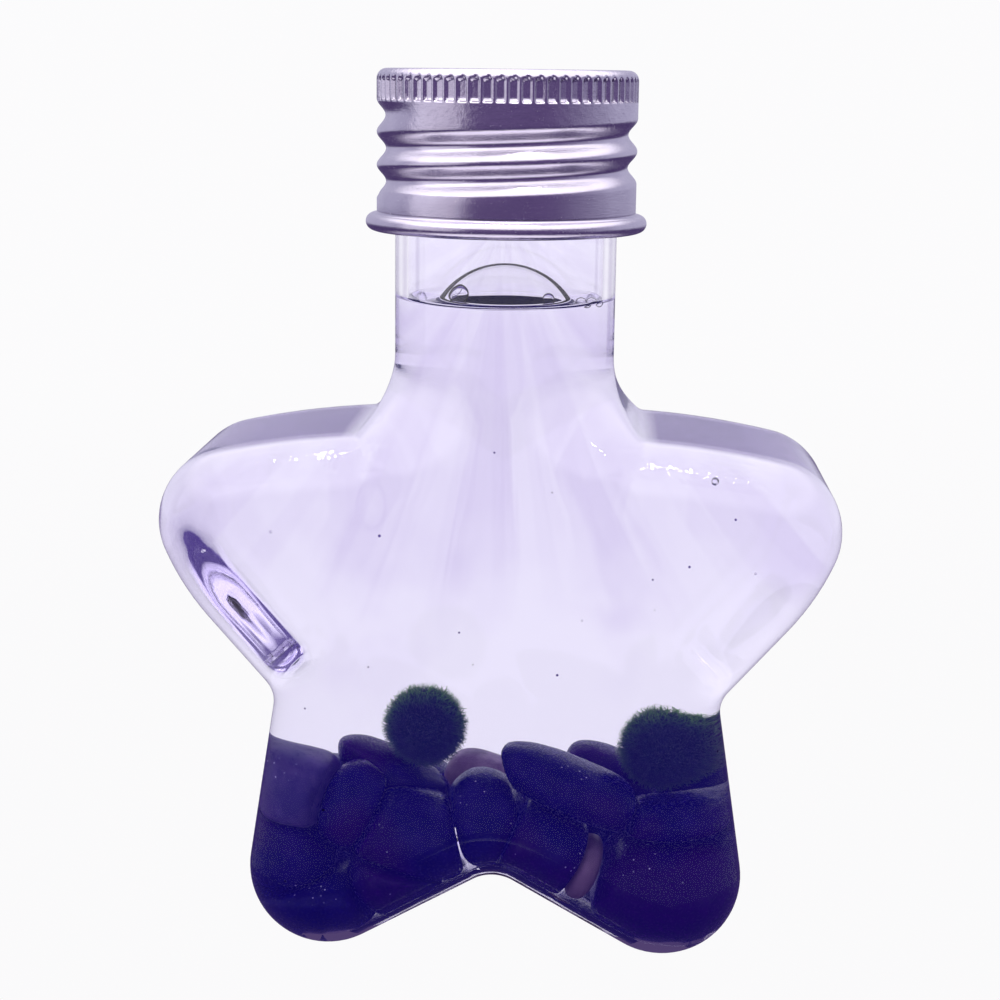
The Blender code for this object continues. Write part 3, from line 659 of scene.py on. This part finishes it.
DUSKY_PEBBLES = ("pebble_left_square",)
MOSS = {
    "moss_ball_left": ((-7.8, -6.0, 24.95), 4.9),
    "moss_ball_right": ((18.1, -4.0, 22.6), 5.0),
}
RING = np.concatenate([(OUT * np.array([-1.0, 1.0]))[::-1], OUT[1:]])[::3]
RING_BASE = np.concatenate([BASE[::-1], BASE[1:]])[::3]


def wall_distance(points):
    """Depth of points under the bottle's outer skin, less than nothing outside the outline.

    What the glass is thicker by at the base is taken off.
    """
    start, way = RING[:-1], np.diff(RING, axis=0)
    rel = points[:, None, 0::2] - start[None]
    t = np.clip((rel * way).sum(axis=2) / (way * way).sum(axis=1), 0.0, 1.0)
    apart = np.linalg.norm(rel - t[:, :, None] * way, axis=2)
    nearest = apart.argmin(axis=1)
    order = np.arange(len(points))
    ahead, to_point = way[nearest], rel[order, nearest]
    left = np.sign(ahead[:, 0] * to_point[:, 1] - ahead[:, 1] * to_point[:, 0])
    across = EDGE_R - left * apart[order, nearest] + BASE_EXTRA * RING_BASE[nearest]
    deep = np.abs(points[:, 1]) - (DEPTH - EDGE_R)
    corner = np.hypot(np.maximum(across, 0.0), np.maximum(deep, 0.0))
    return EDGE_R - corner - np.minimum(np.maximum(across, deep), 0.0)


def tilted(tilt):
    """Rows are a pebble's own length, depth and height axes after its tilt about the depth."""
    t = np.radians(tilt)
    return np.array([[np.cos(t), 0.0, np.sin(t)], [0.0, 1.0, 0.0], [-np.sin(t), 0.0, np.cos(t)]])


def stone_reach(name, ways):
    """How far a pebble reaches from its centre in each direction.

    It is a rounded oval held back by a plane towards every neighbour, by the moss balls and by the
    glass.  The limits are added with a high power, which rounds the edges where they meet.
    """
    centre, (a, b, c), tilt = PEBBLES[name]
    centre, own, half = np.array(centre), tilted(tilt), np.array([a, c, b])
    local = np.abs(ways @ own.T) / half
    total = (local ** OVAL_POWER).sum(axis=1) ** (CROWD_POWER / OVAL_POWER)
    for other, (far, (oa, ob, oc), other_tilt) in PEBBLES.items():
        line = np.array(far) - centre
        span = np.linalg.norm(line)
        if other != name and span < NEIGHBOURHOOD:
            line = line / span
            mine = np.linalg.norm(own @ line * half)
            theirs = np.linalg.norm(tilted(other_tilt) @ line * np.array([oa, oc, ob]))
            reach = span * mine / (mine + theirs) - 0.5 * CONTACT
            total += (np.maximum(ways @ line, 0.0) / reach) ** CROWD_POWER
    for far, size in MOSS.values():
        line = np.array(far) - centre
        span = np.linalg.norm(line)
        total += (np.maximum(ways @ (line / span), 0.0) / (span - MOSS_GIVE * size)) ** CROWD_POWER
    near, away = np.zeros(len(ways)), np.full(len(ways), LONGEST)
    for _ in range(12):
        middle = 0.5 * (near + away)
        inside = wall_distance(centre + ways * middle[:, None]) > WALL + CONTACT
        near, away = np.where(inside, middle, near), np.where(inside, away, middle)
    return (total + near ** -CROWD_POWER) ** (-1.0 / CROWD_POWER)


def lumps(points, seed):
    """Shallow hollows and swellings of a worn stone, from -1 to 1."""
    x, y, z = points.T
    wave = np.sin(0.9 * x + 0.7 * z + seed) * np.sin(0.8 * y - 0.5 * x + 2.0 * seed)
    return 0.6 * wave + 0.4 * np.sin(1.9 * z - 1.3 * y + 3.0 * seed) * np.sin(1.7 * x + 1.1 * y + seed)


def stone_look(name, dark, light, other, glint_tone, glow, roughness):
    """Worn stone under water: cloudy grain, a slow change of tone, flocks of painted glints, a pitted skin.

    The glow is painted light: an even dim glow that lifts the stone's shade.
    """
    made, shader, place = finish(name, Roughness=roughness, IOR=STONE_INDEX, Emission_Color=glow,
                                 Emission_Strength=1.0)
    cloud = place.noise(0.30, 5.0, 0.6)
    grain = place.noise(3.5, 3.0)
    body = ((cloud - 0.42) * 3.0 + (grain - 0.5) * 0.35).clamp().blend(dark, light)
    body = place.noise(0.06, 2.0).ramp(0.46, 0.585).blend(body, other)
    # Painted highlights: flocks of bright specks stand in for wet glints.
    glint_specks = place.grit(1.3).ramp(0.16, 0.08857) * place.noise(0.22, 2.0).ramp(0.60, 0.67143)
    pits = place.noise(7.0, 2.0)
    feed(shader, Base_Color=glint_specks.blend(body, glint_tone), Roughness=grain * 0.2 + (roughness - 0.08),
         Normal=place.bump(pits * 0.3 + cloud, 0.12, 0.25))
    return made


# Dark and light grain, a third tone, painted glints, a painted glow, and the roughness of each kind of stone.
STONES = {
    "dark_stone": ((0.0, 0.0, 0.055, 1.0), (0.010, 0.004, 0.095, 1.0), (0.018, 0.0, 0.055, 1.0),
                   (0.45, 0.40, 0.70, 1.0), (0.001, 0.0, 0.066, 1.0), 0.24),
    "dusky_stone": ((0.030, 0.020, 0.12, 1.0), (0.095, 0.060, 0.20, 1.0), (0.050, 0.024, 0.13, 1.0),
                    (0.45, 0.40, 0.70, 1.0), (0.003, 0.001, 0.064, 1.0), 0.28),
    "pale_stone": ((0.10, 0.055, 0.17, 1.0), (0.36, 0.26, 0.42, 1.0), (0.20, 0.12, 0.24, 1.0),
                   (0.80, 0.72, 0.80, 1.0), (0.01, 0.004, 0.04, 1.0), 0.30),
}
stone_looks = {kind: stone_look(kind, *values) for kind, values in STONES.items()}


def globe(rows, cols):
    """Directions over a ball on a grid of latitude and longitude, from the top pole to the bottom one."""
    polar, turn = np.linspace(0.0, np.pi, rows)[:, None], np.arange(cols) * 2.0 * np.pi / cols
    ways = [np.sin(polar) * np.cos(turn), np.sin(polar) * np.sin(turn), np.cos(polar) + 0.0 * turn]
    return np.stack(ways, axis=2).reshape(-1, 3)


# A pebble's poles lie at the ends of its length.
poles = np.roll(globe(PEBBLE_ROWS, PEBBLE_COLS), 1, axis=1)
for number, (name, (centre, _, tilt)) in enumerate(PEBBLES.items()):
    ways = poles @ tilted(tilt)
    reach = stone_reach(name, ways)
    worn = 1.0 - WORN * (1.0 + lumps(ways * reach[:, None], number))
    spots = np.array(centre) + ways * (reach * worn)[:, None]
    slot = "pale_stone" if name in PALE_PEBBLES else "dark_stone"
    look = stone_looks["dusky_stone" if name in DUSKY_PEBBLES else slot]
    stone = piece(name + "_stone", spots, grid_faces(PEBBLE_ROWS, PEBBLE_COLS, True), [look], "bottle")
    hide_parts(name)


# The moss balls: balls of green filaments as fine as hair, grown all round and rolled into a felt.  They
# rest on the pebbles under water, dark inside and greener on top and round the rim, in painted light.
HAIRS = 8000
HAIR_ROOT = 0.050      # mm, radius of a filament at its root
CORE_SHARE = 0.76      # radius of the dense felt in the ball's radius
HAIR_LEAN = 0.60       # mm by which a filament's tip leans off the ball's normal
HAIR_CURL = 0.24       # mm by which it strays at random
HAIR_BEND = 0.16       # share of the lean at a filament's middle
HAIR_TAPER = (1.0, 0.8, 0.22)  # thickness at its root, middle and tip
HAIR_SHORT = 0.23      # how much shorter than the ball's radius the shortest filament ends
MOSS_DARK = (0.003, 0.007, 0.052, 1.0)
MOSS_GREEN = (0.170, 0.400, 0.175, 1.0)
MOSS_PAINTED_GLOW = (0.001, 0.001, 0.062, 1.0)  # painted glow that lifts the shade among the filaments
FELT_LUMPS = 0.03      # height of the felt's lumps in its radius
FELT_ROWS = 40
FELT_COLS = 72

# The felt's dim blue glow is painted light that lifts its shade.
felt_look, shader, place = finish("moss_felt", Roughness=0.9, Emission_Color=(0.002, 0.003, 0.055, 1.0),
                                  Emission_Strength=1.0)
clump = place.noise(1.6, 4.0, 0.65)
feed(shader, Base_Color=clump.blend((0.002, 0.004, 0.040, 1.0), (0.010, 0.024, 0.075, 1.0)),
     Normal=place.bump(clump + place.noise(6.0, 2.0), 0.5, 0.8))


def hair_look(name, centre, radius):
    """Filaments, dark low down and towards the middle, green on top and round the rim: painted light and
    shade.
    """
    made, shader, place = finish(name, Roughness=0.6, Emission_Strength=1.0)
    away = place.vector("DISTANCE", centre, "Value") / radius
    # Painted light and shade: greener higher up, where the light is painted to fall, darker towards the front
    # and back.
    up = place.axis("Z").ramp(centre[2] - 0.5 * radius, centre[2] + 0.9 * radius)
    deep = (place.axis("Y") - centre[1]) / radius
    tip = away.ramp(0.80, 0.97) * (1.1 - deep * deep * 2.4).clamp()
    tone = (tip * (0.25 + up * 1.05) + (place.noise(1.1, 3.0) - 0.55) * 0.25).clamp()
    feed(shader, Base_Color=tone.blend(MOSS_DARK, MOSS_GREEN),
         Emission_Color=tone.blend(MOSS_PAINTED_GLOW, (0.0, 0.0, 0.0, 1.0)))
    return made


def filaments(centre, radius, count, seed):
    """Points and faces of three-sided tapering filaments on a ball.

    Roots are spread evenly by the golden angle; each filament leans off the ball's normal at random, bends
    once, and ends near the ball's full radius.
    """
    rng = np.random.default_rng(seed)
    index = np.arange(count) + 0.5
    lift = np.arccos(1.0 - 2.0 * index / count)
    round_ = np.pi * (1.0 + 5.0 ** 0.5) * index
    normal = np.stack([np.sin(lift) * np.cos(round_), np.sin(lift) * np.sin(round_), np.cos(lift)], axis=1)
    lean = rng.normal(size=(count, 3))
    lean -= (lean * normal).sum(axis=1)[:, None] * normal
    curl = rng.normal(size=(count, 3)) * HAIR_CURL
    tip_r = radius * (1.0 - HAIR_SHORT * rng.random(count) ** 0.75)
    root = normal * (radius * (CORE_SHARE - 0.06))
    middle = normal * (0.5 * (tip_r + radius * CORE_SHARE))[:, None] + HAIR_BEND * lean + curl
    tip = normal * tip_r[:, None] + HAIR_LEAN * lean + curl
    tip *= (np.minimum(np.linalg.norm(tip, axis=1), radius) / np.linalg.norm(tip, axis=1))[:, None]
    side = np.cross(normal, [0.31, 0.52, 0.79])
    side /= np.linalg.norm(side, axis=1)[:, None]
    other = np.cross(normal, side)
    rings = []
    for spot, thick in zip((root, middle, tip), HAIR_TAPER):
        for k in range(3):
            a = 2.0 * np.pi * k / 3.0
            rings.append(spot + HAIR_ROOT * thick * (np.cos(a) * side + np.sin(a) * other))
    verts = np.stack(rings, axis=1).reshape(-1, 3) + np.array(centre)
    one = np.concatenate([grid_faces(3, 3, True), [[2, 1, 0], [6, 7, 8]]])
    return verts, (one[None] + 9 * np.arange(count)[:, None, None]).reshape(-1, 3)


def felt(centre, radius, seed):
    """A lumpy ball on a grid of latitude and longitude, for the dense inside of a moss ball."""
    ways = globe(FELT_ROWS, FELT_COLS)
    reach = radius * (1.0 + FELT_LUMPS * lumps(ways * 4.0, seed))
    return np.array(centre) + ways * reach[:, None], grid_faces(FELT_ROWS, FELT_COLS, True)


for number, (name, (centre, radius)) in enumerate(MOSS.items()):
    look = hair_look(name + "_filament", centre, radius)
    ball_verts, ball_faces = felt(centre, radius * CORE_SHARE, number)
    hair_verts, hair_faces = filaments(centre, radius, HAIRS, 5 + number)
    second = np.arange(len(ball_faces) + len(hair_faces)) >= len(ball_faces)
    faces = np.concatenate([ball_faces, hair_faces + len(ball_verts)])
    ball = piece(name + "_moss", np.concatenate([ball_verts, hair_verts]), faces, [felt_look, look],
                 "bottle", second)
    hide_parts(name)


# The water: it fills the bottle up into the neck and climbs the glass a little.  One large bubble sits on
# it, a film of water over a shallow bowl, with a few small ones beside it and in the water.
FILM_TOP = 75.2        # height of the large bubble
FILM_BASE = 7.35       # its radius where it meets the water
FILM_FOOT = 0.35       # how far its foot is drawn up
FILM_EDGE = 0.12       # from there to the water's open surface
FOOT_FADE = 0.6        # mm in which the drawn-up foot sinks back, outwards
CLIMB_FADE = 1.25      # and the water that climbs the glass, inwards
SURFACE_ROWS = 26
DOME_ROWS = 30
FILM_THIN = 0.25       # thickness of the film on top
FILM_THICK = 0.55      # and at its foot
BOWL = 0.06            # depth of the water's hollow inside the bubble
BOWL_POWER = 26.0      # how suddenly the hollow's floor turns up at its edge
PAINTED_DARK_OVAL = (7.1, 5.3, 0.06)  # half axes of the hollow's painted dark oval, a painted reflection, and its set back
FILM_SHINE = 0.2       # share of a film's plain shine and bending that is left
HAIR_GAP = 0.02        # mm between the water's skin and the glass
WALL_R = NECK_R - WALL - HAIR_GAP
# Small bubbles: centre and radius; those above the surface are films, the others are air in the water.
FILM_BUBBLES = [((-4.75, -3.0, 72.0), 1.05), ((4.7, -2.4, 71.55), 0.62), ((8.1, -4.6, 71.6), 0.55),
                ((9.2, -3.2, 71.5), 0.5)]
AIR_BUBBLES = [((22.8, -13.4, 53.9), 0.42), ((-24.0, -12.0, 47.5), 0.16), ((9.3, -13.6, 39.0), 0.12),
               ((-31.2, -9.5, 45.0), 0.2), ((-2.4, -10.0, 33.0), 0.1), ((27.5, -10.6, 44.0), 0.14)]
BUBBLE_ROWS = 20
BUBBLE_COLS = 28
BUBBLE_INSIDE = 0.86   # radius of a film bubble's air in its own
WHITE = (1.0, 1.0, 1.0, 1.0)


def bubble(centre, radius):
    """Points and faces of a small round bubble."""
    spots = np.array(centre) + globe(BUBBLE_ROWS, BUBBLE_COLS) * radius
    return spots, grid_faces(BUBBLE_ROWS, BUBBLE_COLS, True)


def together(skins):
    """Points, faces and look numbers of several (points, faces, look) skins in one."""
    verts, faces, index, count = [], [], [], 0
    for skin_verts, skin_faces, look in skins:
        verts.append(skin_verts)
        faces.append(skin_faces + count)
        index.append(np.broadcast_to(look, len(skin_faces)))
        count += len(skin_verts)
    return np.concatenate(verts), np.concatenate(faces), np.concatenate(index)


# The film is part of a ball; its outer side carries on the water's surface, its inner side the bowl's.
film_rise = FILM_TOP - WATER_TOP - FILM_FOOT
film_r = (FILM_BASE ** 2 + film_rise ** 2) / (2.0 * film_rise)
film_z = FILM_TOP - film_r
base_angle = np.arcsin(FILM_BASE / film_r)
out_r = np.linspace(WALL_R, FILM_BASE + FILM_EDGE, SURFACE_ROWS)
out_z = (WATER_TOP + (CLIMB - HAIR_GAP) * np.exp((out_r - WALL_R) / CLIMB_FADE)
         + FILM_FOOT * np.exp((out_r[-1] - out_r) / FOOT_FADE))
dome = np.linspace(base_angle, 0.0, DOME_ROWS)
surface_rows = neck_rows(np.concatenate([out_r, film_r * np.sin(dome)]),
                         np.concatenate([out_z, film_z + film_r * np.cos(dome)]))
side_rows = neck_rows(WALL_R, [WATER_TOP - 2.0, WATER_TOP, WATER_TOP + 0.5])
column = shell(WALL + HAIR_GAP, False)
grid = np.concatenate([surface_rows, side_rows[::-1], column[::-1]])
side_verts, side_faces = four_quarters(grid)
side_verts = uneven(side_verts, *INSIDE_WAVES)
row = row_of(side_faces, grid)
kind = np.where(row >= len(surface_rows) - 1, 0, np.where(row < len(out_r) - 2, 1, 2))

inner_r = film_r - FILM_THIN - (FILM_THICK - FILM_THIN) * (dome / base_angle) ** 2
bowl_r = np.linspace(0.0, 1.0, DOME_ROWS) * inner_r[0] * np.sin(base_angle)
bowl_z = WATER_TOP - BOWL + (BOWL + FILM_FOOT) * (bowl_r / bowl_r[-1]) ** BOWL_POWER
cavity_rows = neck_rows(np.concatenate([bowl_r, (inner_r * np.sin(dome))[1:]]),
                        np.concatenate([bowl_z, (film_z + inner_r * np.cos(dome))[1:]]))
cavity_verts, cavity_faces = four_quarters(cavity_rows)
on_floor = row_of(cavity_faces, cavity_rows) < len(bowl_r) - 2
skins = [(side_verts, side_faces, kind), (cavity_verts, cavity_faces, 3 + on_floor)]
skins += [(*bubble(centre, radius), 5) for centre, radius in AIR_BUBBLES]
verts, faces, index = together(skins)

# Beside the glass the light has met the water already, so its side bends nothing.
side_look, _, _ = finish("water_at_glass", Base_Color=WHITE, IOR=1.0, **CLEAR)
water_look, _, _ = finish("water", Base_Color=(0.97, 0.965, 0.995, 1.0), IOR=WATER_INDEX, **CLEAR)
# The film of a bubble bends light but hardly shines, which leaves only its rim dark.
film_look, shader, place = finish("water_film", Base_Color=WHITE, IOR=WATER_INDEX, **CLEAR)
bent = place.node("ShaderNodeBsdfRefraction", None, {"Color": WHITE, "Roughness": 0.0, "IOR": WATER_INDEX})
mix_in(place, shader, FILM_SHINE, bent)
# Painted reflection: at a low angle the water's floor under the bubble is painted dark, for the dark stones
# far below that it mirrors.
painted_oval_look, shader, place = finish("painted_reflection_under_bubble", Base_Color=(0.004, 0.002, 0.050, 1.0), Roughness=0.3,
                                   Specular_IOR_Level=0.0, Emission_Color=(0.0, 0.0, 0.014, 1.0),
                                   Emission_Strength=1.0)
across = place.vector("MULTIPLY", (1.0 / PAINTED_DARK_OVAL[0], 1.0 / PAINTED_DARK_OVAL[1], 0.0))
across = across.vector("SUBTRACT", (0.0, PAINTED_DARK_OVAL[2], 0.0)).vector("LENGTH", output="Value")
low_angle = place.node("ShaderNodeLayerWeight", None, {"Blend": 0.5}, "Facing").ramp(0.45, 0.57)
clear = place.node("ShaderNodeBsdfGlass", None, {"Roughness": 0.0, "IOR": WATER_INDEX})
mix_in(place, shader, low_angle * across.ramp(1.02, 0.98), clear)
looks = [side_look, water_look, film_look, film_look, painted_oval_look, water_look]
water = piece("water_body", verts, faces, looks, "bottle", index, hollow=3)
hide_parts("water")

skins = []
for centre, radius in FILM_BUBBLES:
    skins += [(*bubble(centre, radius), 0), (*bubble(centre, BUBBLE_INSIDE * radius), 1)]
verts, faces, index = together(skins)
piece("surface_bubbles", verts, faces, [film_look, film_look], "bottle", index, hollow=1)


# The liner: a disc of white polyethylene foam, cut from sheet and pressed into the top of the cap, where
# it seals on the rim.
liner_low, liner_high = (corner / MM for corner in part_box("liner"))
LINER_ROUND = 0.15
LINER_SIDES = 96
FOAM_PALE = (0.90, 0.89, 0.88, 1.0)
FOAM_DULL = (0.70, 0.69, 0.70, 1.0)


def turned_piece(profile, cols):
    """Points and faces of a profile of (radius, height) turned about the bottle's axis."""
    angle = np.arange(cols) * 2.0 * np.pi / cols
    r, z = np.asarray(profile, dtype=float).T
    r, z = r[:, None], z[:, None] + 0.0 * angle
    verts = np.stack([r * np.cos(angle), r * np.sin(angle), z], axis=2)
    return verts.reshape(-1, 3), grid_faces(len(r), cols, True)


def stretch(radii, heights):
    """Points of a profile from radii and heights, either of which may be one number for all."""
    return np.stack(np.broadcast_arrays(radii, heights), axis=1)


lower = LINER_ROUND * heading(np.linspace(-90.0, 0.0, 5))
lower += [liner_high.x - LINER_ROUND, liner_low.z + LINER_ROUND]
upper = stretch(lower[::-1, 0], liner_low.z + liner_high.z - lower[::-1, 1])
middle = np.linspace(0.0, liner_high.x - 0.5, 12)
profile = np.concatenate([stretch(middle, liner_low.z), lower, upper, stretch(middle[::-1], liner_high.z)])
foam_look, shader, place = finish("white_foam", Roughness=0.75)
cells = place.grit(3.2)
pressed = place.vector("MULTIPLY", (1.0, 1.0, 0.0)).vector("LENGTH", output="Value")
pressed = pressed.hump(NECK_R - 0.5 * WALL, 0.7906)
feed(shader, Base_Color=(pressed * 0.35 + cells * 0.3).clamp().blend(FOAM_PALE, FOAM_DULL),
     Normal=place.bump(cells - pressed * 2.0, 0.08, 0.7))
verts, faces = turned_piece(profile, LINER_SIDES)
liner = piece("foam_liner", verts, faces, [foam_look], "liner")
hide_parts("liner")


# The cap: drawn from thin satin aluminium sheet, with a knurled band round its top, a thread rolled in
# against the glass and a rolled bead round its open edge.
CAP_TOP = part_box("cap")[1].z / MM
CAP_R = 14.05
CAP_SHEET = 0.4
CAP_GROOVE = 1.0
CAP_THREAD = (83.0, 91.9)  # heights between which the wall has fine rows
THREAD_ENDS = (-0.2, 2.16)  # turns at which the thread starts and ends
THREAD_RUN = 0.16
TOP_ROUND = 1.1
BEAD_R = 0.9
BEAD_MIDDLE = (14.35, 79.7)
TEETH = 66
TOOTH_DEPTH = 0.34
TEETH_LOW = 92.55
TEETH_HIGH = 95.25
GROOVE_WIDTH = 0.80    # of the step from tooth to tooth
GROOVE_FLANK = 0.20
GROOVE_PEAK = 0.62     # where in its step a groove reaches highest
GROOVE_FALL = 0.9      # mm by which it would end lower a whole step away
GROOVE_ENDS = (0.16, 0.22)  # mm over which a groove runs out at its foot and its top
METAL_DARK = (0.55, 0.51, 0.62, 1.0)
METAL_PALE = (0.84, 0.80, 0.88, 1.0)
CAP_COLS = TEETH * 10
OUTSIDE_STEP = 0.14    # mm between rows of points outside, and inside
INSIDE_STEP = 0.24


def rolled_thread(angle, height):
    """Depth of the rolled thread: a wave that climbs one pitch a turn and runs out at both ends.

    Every point belongs to the groove that it is nearest to, and the grooves are counted in turns.
    """
    wave = 0.5 - 0.5 * np.cos(2.0 * np.pi * (height - THREAD_Z) / PITCH - angle)
    part = np.mod(angle, 2.0 * np.pi) / (2.0 * np.pi)
    turns = 0.5 + part + np.round((height - THREAD_Z) / PITCH - 0.5 - part)
    fade = np.clip(np.minimum(turns - THREAD_ENDS[0], THREAD_ENDS[1] - turns) / THREAD_RUN, 0.0, 1.0)
    return CAP_GROOVE * fade * fade * (3.0 - 2.0 * fade) * wave


def knurl(angle, height):
    """Depth of the pressed teeth below the band: upright grooves, peaked on top, that end on a ledge."""
    part = np.mod(angle * TEETH / (2.0 * np.pi), 1.0)
    groove = np.clip((GROOVE_WIDTH - np.abs(part - 0.5) * 2.0) / GROOVE_FLANK, 0.0, 1.0)
    top = TEETH_HIGH - GROOVE_FALL * np.abs(part - GROOVE_PEAK)
    ends = np.minimum((height - TEETH_LOW) / GROOVE_ENDS[0], (top - height) / GROOVE_ENDS[1])
    return TOOTH_DEPTH * groove * np.clip(ends, 0.0, 1.0)


flat_r = np.linspace(0.0, CAP_R - TOP_ROUND, 10)[:-1]
top_edge = TOP_ROUND * heading(np.linspace(90.0, 0.0, 8)) + [CAP_R - TOP_ROUND, CAP_TOP - TOP_ROUND]
band_z = np.array([94.65, 94.5, 94.35, 94.2, 93.8, 93.2, TEETH_LOW + 0.16, TEETH_LOW + 0.08, TEETH_LOW])
body_z = np.arange(CAP_THREAD[1] + 0.5, CAP_THREAD[0], -OUTSIDE_STEP)
body_z = np.concatenate([body_z, [82.2, 81.2, 80.95, 80.85]])
notch = [[CAP_R - 0.16, 80.72]]
bead = BEAD_R * heading(np.linspace(68.0, -150.0, 16)) + BEAD_MIDDLE
outside = np.concatenate([stretch(flat_r, CAP_TOP), top_edge, stretch(CAP_R, band_z), stretch(CAP_R, body_z),
                          notch, bead])
back_z = np.arange(CAP_THREAD[0], CAP_THREAD[1] + 0.1, INSIDE_STEP)
back_z = np.concatenate([[80.2, 82.2], back_z, [92.4, 93.6, 94.8]])
roof_r = np.linspace(CAP_R - CAP_SHEET - 0.7, 0.0, 6)
inside = np.concatenate([stretch(CAP_R - CAP_SHEET, back_z), stretch(roof_r, CAP_TOP - CAP_SHEET)])
verts, faces = turned_piece(np.concatenate([outside, inside]), CAP_COLS)
angle, height = np.arctan2(verts[:, 1], verts[:, 0]), verts[:, 2]
radius = np.hypot(verts[:, 0], verts[:, 1])
is_outside = np.arange(len(verts)) < len(outside) * CAP_COLS
upright = (np.abs(radius - CAP_R) < 0.01) | (np.abs(radius - CAP_R + CAP_SHEET) < 0.01)
pushed = rolled_thread(angle, height) * upright
toothed = np.maximum(pushed, radius - (CAP_R - knurl(angle, height)))
pushed = np.where(is_outside & (height > TEETH_LOW - 0.01) & (radius > CAP_R - TOP_ROUND), toothed, pushed)
verts[:, :2] *= (1.0 - pushed / np.maximum(radius, 1.0))[:, None]

metal_look, shader, place = finish("satin_aluminium", Metallic=1.0)
speck = place.noise(5.5, 4.0, 0.65)
cloud = place.noise(0.30, 3.0)
drawn = place.vector("MULTIPLY", (0.6, 0.6, 9.0)).noise(1.0, 3.0)
dull = place.axis("Z").ramp(89.4, 90.2)
feed(shader, Base_Color=(cloud * 0.6 + speck * 0.4).blend(METAL_DARK, METAL_PALE),
     Roughness=(speck - 0.5) * 0.25 + (drawn - 0.5) * 0.12 + 0.22,
     Normal=place.bump(speck * 0.6 + drawn * 0.4 + place.noise(1.6, 2.0) * dull * 1.6, 0.035, 0.6))
cap = piece("screw_cap", verts, faces, [metal_look], "cap")
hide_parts("cap")
